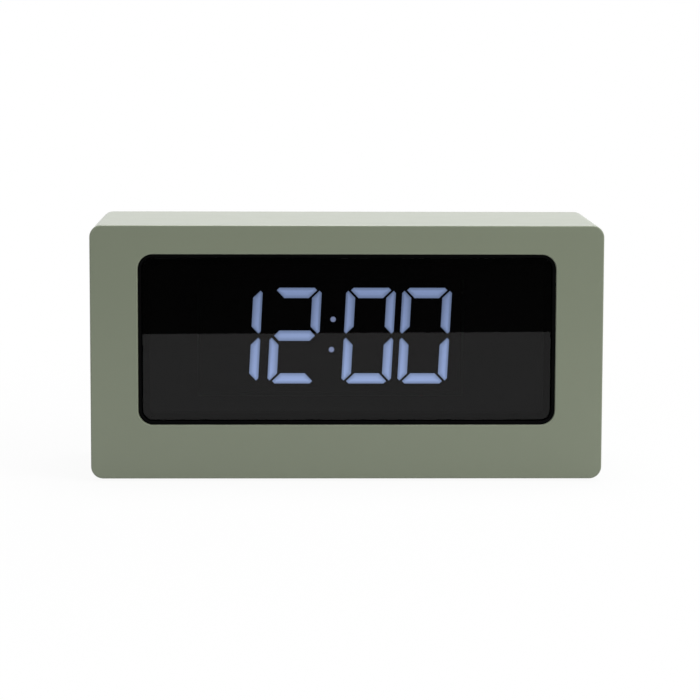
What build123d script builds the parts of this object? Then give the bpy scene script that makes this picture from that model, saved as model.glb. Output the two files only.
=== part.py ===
from build123d import *
import os
from math import cos, pi, radians, sin, sqrt, tan

# A digital desk clock: a moulded case with a smoked window, a four-digit display behind the window,
# and a rear cover that carries the main board, the controls and a battery bay with a hinged door.
# The front faces -Y and +Z is up. The origin is on the table, under the middle of the case.
# Lengths are in millimetres and angles in degrees.

# Case
case_width = 160.0
case_height = 79.6
case_depth = 60.0
case_wall = 2.6
front_wall = 3.0
case_corner_radius = 3.8
case_inner_radius = 1.2
case_edge_fillet = 0.5
cut_overrun = 1.0

# Feet
foot_radius = 4.0
foot_height = 1.5
foot_proud = 0.8
foot_edge_chamfer = 0.3
foot_clearance = 0.1
foot_inset_x = 12.0
foot_inset_y = 10.0

# Window
side_bezel = 14.9
top_bezel = 9.1
bottom_bezel = 17.05
window_radius = 4.6
window_edge_fillet = 0.4

# Lens, its black frame, and the tape and mask behind it
lens_recess = 2.0
lens_thickness = 2.0
lens_clearance = 0.15
lens_edge_fillet = 0.25
tape_thickness = 0.3
frame_clearance = 0.1
frame_wall = 0.9
frame_setback = 0.4
frame_ledge_width = 2.4
frame_ledge_thickness = 1.4
frame_gap = 1.7
mask_thickness = 0.8
mask_clearance = 0.3
stake_radius = 1.0
stake_clearance = 0.1
stake_head_radius = 1.7
stake_head_height = 0.8
stake_spread_share = 0.75

# Digits: the points of the segments are set in from the sides, top and middle of a digit
digit_margin = 11.5
digit_width = 15.7
digit_slant = 3.0
hour_digit_pitch = 18.6
minute_digit_pitch = 17.7
hour_minute_pitch = 23.4
display_offset = -5.1
bar_width = 3.3
bar_tip_inset = 1.5
bar_bevel = 0.8
upright_width = 2.95
upright_shoulder = 1.65
upright_apex_inset = 0.7
upright_tip_drop = 0.95
upright_tip_rise = 0.65
upright_heel_rise = 1.3
middle_tip_inset = 1.4
middle_taper = 1.6
colon_dot_radius = 0.88
colon_half_pitch = 4.8
colon_rise = 0.4
colon_offset = 0.2
shown_time = "1200"
lit_by_character = {"0": "abcdef", "1": "bc", "2": "abged"}

# Display module: a housing with a well for each segment, on its own board
housing_gap = 6.5
housing_margin = 3.0
housing_depth = 8.0
housing_chamfer = 0.5
segment_depth = 2.4
well_taper = 8.0
led_size = 1.2
led_height = 0.8

# Circuit boards and what holds them
board_thickness = 1.6
display_board_height = 40.0
display_board_end = 3.0
display_boss_radius = 2.9
display_boss_inset = 4.1
display_boss_half_pitch = 14.0
display_boss_gap = 0.6
main_board_height = 20.0
main_board_end = 9.0
main_board_gap = 9.0
main_boss_radius = 2.4
main_boss_inset = 3.0
gusset_thickness = 1.2

# Rear cover: it sits on a step in the case wall, a little way inside the rim
rear_recess = 2.2
cover_thickness = 2.8
cover_clearance = 0.25
cover_seat_width = 1.0
cover_seat_radius = 2.2
cover_corner_radius = 2.0
cover_edge_fillet = 0.4
cover_boss_radius = 3.5
cover_boss_inset = 4.4

# Screws
cover_screw_radius = 1.3
cover_screw_length = 9.0
cover_screw_head_radius = 2.6
cover_screw_head_height = 1.3
cover_counterbore_depth = 1.6
board_screw_radius = 1.0
board_screw_length = 6.0
board_screw_head_radius = 1.9
board_screw_head_height = 1.1
screw_hole_clearance = 0.2
screw_head_clearance = 0.3
pilot_clearance = 0.05
pilot_end_gap = 1.0
head_bevel_share = 0.45
recess_length_share = 1.2
recess_width_share = 0.3
recess_depth_share = 0.6

# Battery bay, cells and contacts
cell_radius = 5.25
cell_length = 44.5
cell_nub_radius = 1.9
cell_nub_height = 1.0
cell_edge_chamfer = 0.4
cell_pitch = 11.0
cell_clearance = 0.2
cell_side_margin = 0.6
cell_door_gap = 0.3
saddle_share = 0.45
bay_wall = 1.6
bay_floor = 1.4
bay_ledge = 0.8
bay_bottom_margin = 5.2
contact_thickness = 0.4
contact_rise = 4.0
contact_gap = 1.4
bump_radius = 2.0
bump_height = 0.8
bump_clearance = 0.05
tab_width = 3.0
tab_length = 3.0
tab_clearance = 0.1
spring_wire_radius = 0.35
spring_base_radius = 3.6
spring_tip_radius = 2.4
spring_length = 5.5
spring_turns = 3
spring_wire_sides = 6

# Battery door: it hinges on two moulded pins at its rounded lower edge
door_thickness = 2.6
door_clearance = 0.3
door_edge_fillet = 0.3
door_rib_width = 1.4
door_rib_height = 0.6
door_rib_end = 4.0
door_rib_spread_share = 0.3
hinge_pin_radius = 0.75
hinge_pin_length = 1.5
hinge_clearance = 0.05
hinge_end_gap = 0.3
bead_radius = 0.5
bead_proud = 0.15
bead_drop = 4.0
bead_length = 3.0
scoop_length = 14.0
scoop_height = 8.0
scoop_depth = 1.3
scoop_taper = 30.0

# Push buttons and their switches
button_names = ("mode", "down", "up", "alarm", "snooze")
button_pitch = 11.5
button_length = 7.5
button_height = 4.6
button_proud = 1.4
button_clearance = 0.2
button_edge_fillet = 0.5
button_travel = 0.5
button_flange_width = 1.0
button_flange_thickness = 1.0
button_flange_gap = 0.1
button_stem_radius = 1.8
switch_size = 6.0
switch_height = 3.5
switch_chamfer = 0.4
plunger_radius = 1.6
plunger_clearance = 0.1
plunger_rise = 1.5
plunger_insert = 2.0
plunger_end_gap = 0.2

# Alarm slide switch
slider_spacing = 12.0
slider_travel = 2.5
slider_length = 3.6
slider_height = 3.2
slider_proud = 1.2
slider_clearance = 0.25
slider_cover_overlap = 0.5
slider_flange_thickness = 0.9
slider_flange_gap = 0.15
slider_groove_width = 0.5
slider_groove_depth = 0.4
slider_groove_pitch = 1.0
slider_groove_count = 3
lever_length = 2.4
lever_height = 1.5
lever_clearance = 0.2
lever_insert = 2.2
slide_body_length = 9.0
slide_body_height = 4.2
slide_body_depth = 3.6

# Buzzer
buzzer_spacing = 14.0
buzzer_radius = 6.0
buzzer_height = 6.0
buzzer_edge_chamfer = 0.5
buzzer_port_radius = 1.2
buzzer_port_depth = 1.5
collar_clearance = 0.3
collar_wall = 1.0
collar_height = 4.5
sound_hole_radius = 0.7
sound_hole_ring_radius = 2.8
sound_hole_count = 6

# Power inlet
inlet_spacing = 15.0
inlet_width = 8.94
inlet_height = 3.26
inlet_wall = 0.3
inlet_base = 0.8
inlet_setback = 0.4
inlet_clearance = 0.3
tongue_width = 6.6
tongue_thickness = 0.7
tongue_setback = 1.0

# Components on the inner sides of the boards
connector_length = 18.0
connector_height = 5.6
connector_depth = 5.0
connector_chamfer = 0.5
display_connector_drop = 8.0
ribbon_width = 15.0
ribbon_thickness = 0.9
ribbon_bend_share = 0.2
chip_length = 12.8
chip_width = 7.5
chip_height = 2.3
chip_chamfer = 0.3
chip_standoff = 0.2
chip_pin_pairs = 10
chip_pin_pitch = 1.2
chip_pin_width = 0.4
chip_pin_thickness = 0.25
chip_pin_reach = 1.4
chip_x = -24.0
driver_x = 30.0
crystal_length = 11.0
crystal_width = 4.6
crystal_height = 3.5
crystal_rim = 0.4
crystal_rim_height = 0.5
crystal_edge_chamfer = 0.5
crystal_x = -40.0
capacitor_radius = 4.0
capacitor_height = 9.0
capacitor_edge_chamfer = 0.6
capacitor_base = 1.0
capacitor_base_margin = 0.3
capacitor_x = 28.0
lead_radius = 0.65
lead_offset = 0.1
lead_bend_radius = 3.9
lead_straight = 0.3
lead_start_gap = 0.5
lead_pad_margin = 2.5

os.makedirs("parts", exist_ok=True)


def elevation(depth_y):
    """A sketch plane that faces the front at the given depth: its x runs right and its y runs up."""
    return Plane.XZ.offset(-depth_y)


def facing(sign, x, y, z):
    """A plane whose normal points to the rear (sign 1) or to the front (sign -1)."""
    return Plane(origin=(x, y, z), x_dir=(1, 0, 0), z_dir=(0, sign, 0))


def save(piece, name):
    """Label a finished piece and write it to its own file."""
    piece.label = name
    export_step(piece, f"parts/{name}.step")


# Case faces and the hollow inside
front_y = -case_depth / 2
back_y = case_depth / 2
front_inner_y = front_y + front_wall
case_bottom_z = foot_proud
case_top_z = case_bottom_z + case_height
case_mid_z = (case_bottom_z + case_top_z) / 2
inner_half_width = case_width / 2 - case_wall
inner_width = 2 * inner_half_width
inner_height = case_height - 2 * case_wall
inner_top_z = case_top_z - case_wall
inner_bottom_z = case_bottom_z + case_wall

# Window and the stack behind it, from front to back
window_width = case_width - 2 * side_bezel
window_height = case_height - top_bezel - bottom_bezel
window_z = case_top_z - top_bezel - window_height / 2
digit_height = window_height - 2 * digit_margin
lens_front_y = front_y + lens_recess
lens_back_y = lens_front_y + lens_thickness
ledge_front_y = lens_back_y + tape_thickness
ledge_back_y = ledge_front_y + frame_ledge_thickness
housing_front_y = ledge_back_y + housing_gap
display_board_front_y = housing_front_y + housing_depth
display_board_rear_y = display_board_front_y + board_thickness

# Lens frame outlines
sleeve_width = window_width - 2 * frame_clearance
sleeve_height = window_height - 2 * frame_clearance
sleeve_radius = window_radius - frame_clearance
lens_seat_width = sleeve_width - 2 * frame_wall
lens_seat_height = sleeve_height - 2 * frame_wall
lens_seat_radius = sleeve_radius - frame_wall
ledge_width = lens_seat_width - 2 * frame_ledge_width
ledge_height = lens_seat_height - 2 * frame_ledge_width
ledge_radius = lens_seat_radius - frame_ledge_width
display_boss_x = inner_half_width - display_boss_inset
flange_side = display_boss_x - display_boss_radius - display_boss_gap - window_width / 2
flange_top = top_bezel - case_wall - frame_gap
flange_radius = window_radius + flange_top
stake_x = window_width / 2 + flange_side / 2
stake_z = window_height / 2 + flange_top / 2
stake_places = [
    (side * place_x, window_z + level * place_z)
    for side in (-1, 1)
    for level in (-1, 1)
    for place_x, place_z in (
        (stake_x, window_height / 2 * stake_spread_share),
        (window_width / 2 * stake_spread_share, stake_z),
    )
]
display_boss_places = [
    (side * display_boss_x, window_z + level * display_boss_half_pitch)
    for side in (-1, 1)
    for level in (-1, 1)
]

# Rear cover, its seat in the case and its screws
cover_outer_y = back_y - rear_recess
cover_inner_y = cover_outer_y - cover_thickness
seat_width = inner_width + 2 * cover_seat_width
seat_height = inner_height + 2 * cover_seat_width
cover_width = seat_width - 2 * cover_clearance
cover_height = seat_height - 2 * cover_clearance
cover_boss_x = inner_half_width - cover_boss_inset
cover_boss_places = [
    (side * cover_boss_x, level_z, side, rise)
    for side in (-1, 1)
    for level_z, rise in (
        (inner_bottom_z + cover_boss_inset, -1),
        (inner_top_z - cover_boss_inset, 1),
    )
]
cover_screw_places = [(x, z) for x, z, side, rise in cover_boss_places]

# Battery bay, door and cells
bay_width = cell_length + spring_length + 2 * contact_thickness + bump_height + bump_clearance
bay_height = 2 * cell_pitch + 2 * cell_radius + 2 * cell_side_margin
opening_width = bay_width + 2 * bay_ledge
opening_height = bay_height + 2 * bay_ledge
opening_bottom_z = inner_bottom_z - cover_seat_width + bay_bottom_margin
opening_top_z = opening_bottom_z + opening_height
bay_mid_z = (opening_bottom_z + opening_top_z) / 2
bay_top_z = bay_mid_z + bay_height / 2 + bay_wall
door_width = opening_width - 2 * door_clearance
door_top_z = opening_top_z - door_clearance
door_inner_y = cover_outer_y - door_thickness
hinge_y = cover_outer_y - door_thickness / 2
hinge_z = opening_bottom_z + door_clearance + door_thickness / 2
cell_axis_y = door_inner_y - door_rib_height - cell_door_gap - cell_radius
saddle_y = cell_axis_y - cell_radius * saddle_share
bay_floor_y = cell_axis_y - cell_radius - cell_clearance - bay_floor
# Each cell: its height, and the side that its positive end points to
cells = [(bay_mid_z + cell_pitch, 1), (bay_mid_z, -1), (bay_mid_z - cell_pitch, 1)]
contact_x = bay_width / 2 - contact_thickness / 2
tab_places = [(-contact_x, cells[0][0]), (contact_x, cells[-1][0])]

# Main board and the row of controls, midway between the bay and the top of the case
control_row_z = (bay_top_z + inner_top_z) / 2
main_board_rear_y = cover_inner_y - main_board_gap
main_board_front_y = main_board_rear_y - board_thickness
button_places = [(index - (len(button_names) - 1) / 2) * button_pitch for index in range(len(button_names))]
slider_x = button_places[-1] + slider_spacing
buzzer_x = slider_x + buzzer_spacing
inlet_x = button_places[0] - inlet_spacing
main_board_half_width = buzzer_x + main_board_end
main_boss_x = main_board_half_width - main_boss_inset
main_boss_half_pitch = main_board_height / 2 - main_boss_inset
main_boss_places = [
    (side * main_boss_x, control_row_z + level * main_boss_half_pitch)
    for side in (-1, 1)
    for level in (-1, 1)
]

# Digits of the display, from left to right
digit_span = hour_digit_pitch + hour_minute_pitch + minute_digit_pitch
first_digit_x = display_offset - digit_span / 2
second_digit_x = first_digit_x + hour_digit_pitch
third_digit_x = second_digit_x + hour_minute_pitch
fourth_digit_x = third_digit_x + minute_digit_pitch
digit_places = [first_digit_x, second_digit_x, third_digit_x, fourth_digit_x]
colon_x = (second_digit_x + third_digit_x) / 2 + colon_offset
digit_lean = tan(radians(digit_slant))
housing_width = digit_span + digit_width + digit_height * digit_lean + 2 * housing_margin
housing_height = digit_height + 2 * housing_margin


def segment_outlines():
    """The seven segments of one digit, each as its corner points about the middle of the digit."""
    half_width = digit_width / 2
    half_height = digit_height / 2
    bar_end = half_width - bar_tip_inset
    bar_half = [
        (bar_end - bar_bevel, half_height),
        (bar_end, half_height - bar_bevel),
        (bar_end - (bar_width - bar_bevel), half_height - bar_width),
    ]
    mitre = upright_width - upright_apex_inset
    upright = [
        (half_width, half_height - upright_shoulder),
        (half_width - upright_apex_inset, half_height - upright_tip_drop),
        (half_width - upright_width, half_height - upright_tip_drop - mitre),
        (half_width - upright_width, upright_tip_rise + mitre),
        (half_width - upright_apex_inset, upright_tip_rise),
        (half_width, upright_heel_rise),
    ]
    middle_end = half_width - middle_tip_inset
    middle_half = [
        (middle_end - middle_taper, bar_width / 2),
        (middle_end, 0),
        (middle_end - middle_taper, -bar_width / 2),
    ]
    top_bar = bar_half + [(-x, z) for x, z in reversed(bar_half)]
    square = {
        "a": top_bar,
        "b": upright,
        "c": [(x, -z) for x, z in upright],
        "d": [(x, -z) for x, z in top_bar],
        "e": [(-x, -z) for x, z in upright],
        "f": [(-x, z) for x, z in upright],
        "g": middle_half + [(-x, -z) for x, z in middle_half],
    }
    return {name: [(x + z * digit_lean, z) for x, z in points] for name, points in square.items()}


segments = segment_outlines()
colon_rises = (colon_rise - colon_half_pitch, colon_rise + colon_half_pitch)
colon_places = [(colon_x + rise * digit_lean, window_z + rise) for rise in colon_rises]


def draw_segments(lit):
    """Draw the segments that the shown time lights, or those that it leaves dark, in the open sketch."""
    for character, digit_x in zip(shown_time, digit_places):
        for name, points in segments.items():
            if (name in lit_by_character[character]) == lit:
                with Locations((digit_x, window_z)):
                    Polygon(*points)


def draw_colon():
    """Draw the two dots of the colon in the open sketch."""
    with Locations(*colon_places):
        Circle(colon_dot_radius)


def screw_piece(radius, length, head_radius, head_height):
    """One pan-head screw, with its head above the XY plane and its shank below it."""
    with BuildPart() as screw:
        with BuildSketch():
            Circle(head_radius)
        extrude(amount=head_height)
        chamfer(screw.edges().sort_by(Axis.Z)[-1], head_height * head_bevel_share)
        with BuildSketch():
            Circle(radius)
        extrude(amount=-length)
        with BuildSketch(Plane.XY.offset(head_height)):
            Rectangle(head_radius * recess_length_share, head_radius * recess_width_share)
            Rectangle(head_radius * recess_width_share, head_radius * recess_length_share)
        extrude(amount=-head_height * recess_depth_share, mode=Mode.SUBTRACT)
    return screw.part


def chip_piece():
    """One surface-mounted chip on the XY plane, with its bent pins along both long sides."""
    pin_top = chip_standoff + chip_height / 2
    pin_shoulder = chip_width / 2 + chip_pin_reach / 2
    with BuildPart() as chip:
        with BuildSketch(Plane.XY.offset(chip_standoff)):
            Rectangle(chip_length, chip_width)
        extrude(amount=chip_height)
        chamfer(chip.faces().sort_by(Axis.Z)[-1].edges(), chip_chamfer)
        first_pin_x = -chip_pin_pitch * (chip_pin_pairs - 1) / 2 - chip_pin_width / 2
        pin_planes = [Plane.YZ.offset(first_pin_x + chip_pin_pitch * pair) for pair in range(chip_pin_pairs)]
        with BuildSketch(*pin_planes):
            with Locations((0, pin_top)):
                Rectangle(2 * pin_shoulder, chip_pin_thickness)
            for side in (-1, 1):
                with Locations((side * pin_shoulder, pin_top / 2 + chip_pin_thickness / 4)):
                    Rectangle(chip_pin_thickness, pin_top + chip_pin_thickness / 2)
                with Locations((side * (pin_shoulder + chip_pin_reach / 4), chip_pin_thickness / 2)):
                    Rectangle(chip_pin_reach / 2, chip_pin_thickness)
        extrude(amount=chip_pin_width)
    return chip.part


def helix_point(turn, direction, origin):
    """A point on a battery spring's centre line, and the line's direction there."""
    share = turn / spring_turns
    radius = spring_base_radius + (spring_tip_radius - spring_base_radius) * share
    climb = spring_length - 2 * spring_wire_radius
    angle = 2 * pi * turn
    slope = (spring_tip_radius - spring_base_radius) / (2 * pi * spring_turns)
    offset_y = radius * cos(angle)
    offset_z = radius * sin(angle)
    along = spring_wire_radius + climb * share
    point = Vector(origin) + Vector(direction * along, offset_y, offset_z)
    tangent = Vector(
        direction * climb / (2 * pi * spring_turns),
        slope * cos(angle) - offset_z,
        slope * sin(angle) + offset_y,
    )
    return point, tangent.normalized()


def biarc_joint(start, start_tangent, end, end_tangent):
    """The point where two tangent arcs meet between two points with given directions."""
    chord = end - start
    bend = 1 - start_tangent.dot(end_tangent)
    along = chord.dot(start_tangent + end_tangent)
    reach = (sqrt(along * along + 2 * bend * chord.dot(chord)) - along) / (2 * bend)
    return (start + end + (start_tangent - end_tangent) * reach) * 0.5


# Case shell: a tub that is open at the rear, with the window in its front wall
with BuildPart() as case_shell:
    with BuildSketch(elevation(back_y)):
        with Locations((0, case_mid_z)):
            RectangleRounded(case_width, case_height, case_corner_radius)
    extrude(amount=case_depth)
    fillet(case_shell.faces().sort_by(Axis.Y)[0].edges(), case_edge_fillet)
    with BuildSketch(elevation(back_y)):
        with Locations((0, case_mid_z)):
            RectangleRounded(inner_width, inner_height, case_inner_radius)
    extrude(amount=case_depth - front_wall, mode=Mode.SUBTRACT)
    with BuildSketch(elevation(back_y)):
        with Locations((0, case_mid_z)):
            RectangleRounded(seat_width, seat_height, cover_seat_radius)
    extrude(amount=rear_recess + cover_thickness, mode=Mode.SUBTRACT)
    fillet(case_shell.faces().sort_by(Axis.Y)[-1].edges(), case_edge_fillet)
    # Window
    with BuildSketch(elevation(front_inner_y + cut_overrun)):
        with Locations((0, window_z)):
            RectangleRounded(window_width, window_height, window_radius)
    extrude(amount=front_wall + 2 * cut_overrun, mode=Mode.SUBTRACT)
    front_face = case_shell.faces().filter_by(Plane.XZ).sort_by(Axis.Y)[0]
    fillet(front_face.inner_wires()[0].edges(), window_edge_fillet)
    # Bosses for the rear cover, each tied to the two walls beside it
    with BuildSketch(elevation(cover_inner_y)):
        for boss_x, boss_z, side, rise in cover_boss_places:
            with Locations((boss_x, boss_z)):
                Circle(cover_boss_radius)
            with Locations((boss_x + side * cover_boss_inset / 2, boss_z)):
                Rectangle(cover_boss_inset, gusset_thickness)
            with Locations((boss_x, boss_z + rise * cover_boss_inset / 2)):
                Rectangle(gusset_thickness, cover_boss_inset)
    extrude(amount=cover_inner_y - front_inner_y)
    with BuildSketch(elevation(cover_inner_y)):
        with Locations(*cover_screw_places):
            Circle(cover_screw_radius + pilot_clearance)
    extrude(amount=cover_screw_length + pilot_end_gap, mode=Mode.SUBTRACT)
    # Bosses for the display board
    with BuildSketch(elevation(display_board_front_y)):
        for boss_x, boss_z in display_boss_places:
            side = 1 if boss_x > 0 else -1
            with Locations((boss_x, boss_z)):
                Circle(display_boss_radius)
            with Locations((boss_x + side * display_boss_inset / 2, boss_z)):
                Rectangle(display_boss_inset, gusset_thickness)
    extrude(amount=display_board_front_y - front_inner_y)
    with BuildSketch(elevation(display_board_front_y)):
        with Locations(*display_boss_places):
            Circle(board_screw_radius + pilot_clearance)
    extrude(amount=board_screw_length + pilot_end_gap, mode=Mode.SUBTRACT)
    # Stakes that hold the lens frame: a pin through its flange and a head formed over it
    with BuildSketch(elevation(ledge_back_y)):
        with Locations(*stake_places):
            Circle(stake_radius)
    extrude(amount=ledge_back_y - front_inner_y)
    with BuildSketch(elevation(ledge_back_y)):
        with Locations(*stake_places):
            Circle(stake_head_radius)
    extrude(amount=-stake_head_height)
    # Pockets for the feet
    foot_x = case_width / 2 - foot_inset_x
    foot_y = case_depth / 2 - foot_inset_y
    with BuildSketch(Plane.XY.offset(case_bottom_z - cut_overrun)):
        with GridLocations(2 * foot_x, 2 * foot_y, 2, 2):
            Circle(foot_radius + foot_clearance)
    extrude(amount=foot_height - foot_proud + cut_overrun, mode=Mode.SUBTRACT)
save(case_shell.part, "case_shell")

with BuildPart() as rubber_feet:
    with BuildSketch():
        with GridLocations(2 * foot_x, 2 * foot_y, 2, 2):
            Circle(foot_radius)
    extrude(amount=foot_height)
    chamfer(rubber_feet.edges().group_by(Axis.Z)[0], foot_edge_chamfer)
save(rubber_feet.part, "rubber_feet")

# Lens frame: a sleeve that lines the window, a flange behind the front wall and a ledge for the lens
with BuildPart() as lens_frame:
    with BuildSketch(elevation(ledge_back_y)):
        with Locations((0, window_z)):
            RectangleRounded(window_width + 2 * flange_side, window_height + 2 * flange_top, flange_radius)
    extrude(amount=ledge_back_y - front_inner_y)
    with BuildSketch(elevation(ledge_back_y)):
        with Locations((0, window_z)):
            RectangleRounded(sleeve_width, sleeve_height, sleeve_radius)
    extrude(amount=ledge_back_y - front_y - frame_setback)
    with BuildSketch(elevation(ledge_front_y)):
        with Locations((0, window_z)):
            RectangleRounded(lens_seat_width, lens_seat_height, lens_seat_radius)
    extrude(amount=ledge_front_y - front_y, mode=Mode.SUBTRACT)
    with BuildSketch(elevation(ledge_back_y + cut_overrun)):
        with Locations((0, window_z)):
            RectangleRounded(ledge_width, ledge_height, ledge_radius)
    extrude(amount=frame_ledge_thickness + 2 * cut_overrun, mode=Mode.SUBTRACT)
    with BuildSketch(elevation(ledge_back_y)):
        with Locations(*stake_places):
            Circle(stake_radius + stake_clearance)
    extrude(amount=ledge_back_y - front_inner_y, mode=Mode.SUBTRACT)
save(lens_frame.part, "lens_frame")

lens_width = lens_seat_width - 2 * lens_clearance
lens_height = lens_seat_height - 2 * lens_clearance
lens_radius = lens_seat_radius - lens_clearance
with BuildPart() as lens:
    with BuildSketch(elevation(lens_back_y)):
        with Locations((0, window_z)):
            RectangleRounded(lens_width, lens_height, lens_radius)
    extrude(amount=lens_thickness)
    fillet(lens.faces().sort_by(Axis.Y)[0].edges(), lens_edge_fillet)
save(lens.part, "lens")

with BuildPart() as lens_tape:
    with BuildSketch(elevation(ledge_front_y)):
        with Locations((0, window_z)):
            RectangleRounded(lens_width, lens_height, lens_radius)
            RectangleRounded(ledge_width, ledge_height, ledge_radius, mode=Mode.SUBTRACT)
    extrude(amount=tape_thickness)
save(lens_tape.part, "lens_tape")

with BuildPart() as light_mask:
    with BuildSketch(elevation(ledge_back_y + mask_thickness)):
        with Locations((0, window_z)):
            RectangleRounded(lens_seat_width, lens_seat_height, lens_seat_radius)
        with Locations((display_offset, window_z)):
            Rectangle(
                housing_width + 2 * mask_clearance,
                housing_height + 2 * mask_clearance,
                mode=Mode.SUBTRACT,
            )
    extrude(amount=mask_thickness)
save(light_mask.part, "light_mask")

# Display housing: each segment has a well that narrows from its light guide to its LED
with BuildPart() as display_housing:
    with BuildSketch(elevation(display_board_front_y)):
        with Locations((display_offset, window_z)):
            Rectangle(housing_width, housing_height)
    extrude(amount=housing_depth)
    chamfer(display_housing.faces().sort_by(Axis.Y)[0].edges(), housing_chamfer)
    with BuildSketch(elevation(housing_front_y)):
        draw_segments(True)
        draw_segments(False)
    extrude(amount=-segment_depth, mode=Mode.SUBTRACT)
    with BuildSketch(elevation(housing_front_y + segment_depth)):
        draw_segments(True)
        draw_segments(False)
    extrude(amount=-(housing_depth - segment_depth), taper=well_taper, mode=Mode.SUBTRACT)
    with BuildSketch(elevation(housing_front_y)):
        draw_colon()
    extrude(amount=-housing_depth, mode=Mode.SUBTRACT)
save(display_housing.part, "display_housing")

with BuildPart() as lit_segments:
    with BuildSketch(elevation(housing_front_y + segment_depth)):
        draw_segments(True)
    extrude(amount=segment_depth)
save(lit_segments.part, "lit_segments")

with BuildPart() as unlit_segments:
    with BuildSketch(elevation(housing_front_y + segment_depth)):
        draw_segments(False)
    extrude(amount=segment_depth)
save(unlit_segments.part, "unlit_segments")

with BuildPart() as colon_dots:
    with BuildSketch(elevation(housing_front_y + segment_depth)):
        draw_colon()
    extrude(amount=segment_depth)
save(colon_dots.part, "colon_dots")

with BuildPart() as led_chips:
    with BuildSketch(elevation(display_board_front_y)):
        for digit_x in digit_places:
            for points in segments.values():
                middle_x = (min(x for x, z in points) + max(x for x, z in points)) / 2
                middle_z = (min(z for x, z in points) + max(z for x, z in points)) / 2
                with Locations((digit_x + middle_x, window_z + middle_z)):
                    Rectangle(led_size, led_size)
        with Locations(*colon_places):
            Rectangle(led_size, led_size)
    extrude(amount=led_height)
save(led_chips.part, "led_chips")

with BuildPart() as display_board:
    with BuildSketch(elevation(display_board_rear_y)):
        with Locations((0, window_z)):
            Rectangle(2 * (display_boss_x + display_board_end), display_board_height)
        with Locations(*display_boss_places):
            Circle(board_screw_radius + screw_hole_clearance, mode=Mode.SUBTRACT)
    extrude(amount=board_thickness)
save(display_board.part, "display_board")

# Screws
cover_screw = screw_piece(
    cover_screw_radius,
    cover_screw_length,
    cover_screw_head_radius,
    cover_screw_head_height,
)
board_screw = screw_piece(
    board_screw_radius,
    board_screw_length,
    board_screw_head_radius,
    board_screw_head_height,
)
counterbore_y = cover_outer_y - cover_counterbore_depth

with BuildPart() as cover_screws:
    with Locations(*[facing(1, x, counterbore_y, z) for x, z in cover_screw_places]):
        add(cover_screw)
save(cover_screws.part, "cover_screws")

with BuildPart() as display_board_screws:
    with Locations(*[facing(1, x, display_board_rear_y, z) for x, z in display_boss_places]):
        add(board_screw)
save(display_board_screws.part, "display_board_screws")

with BuildPart() as main_board_screws:
    with Locations(*[facing(-1, x, main_board_front_y, z) for x, z in main_boss_places]):
        add(board_screw)
save(main_board_screws.part, "main_board_screws")

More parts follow.
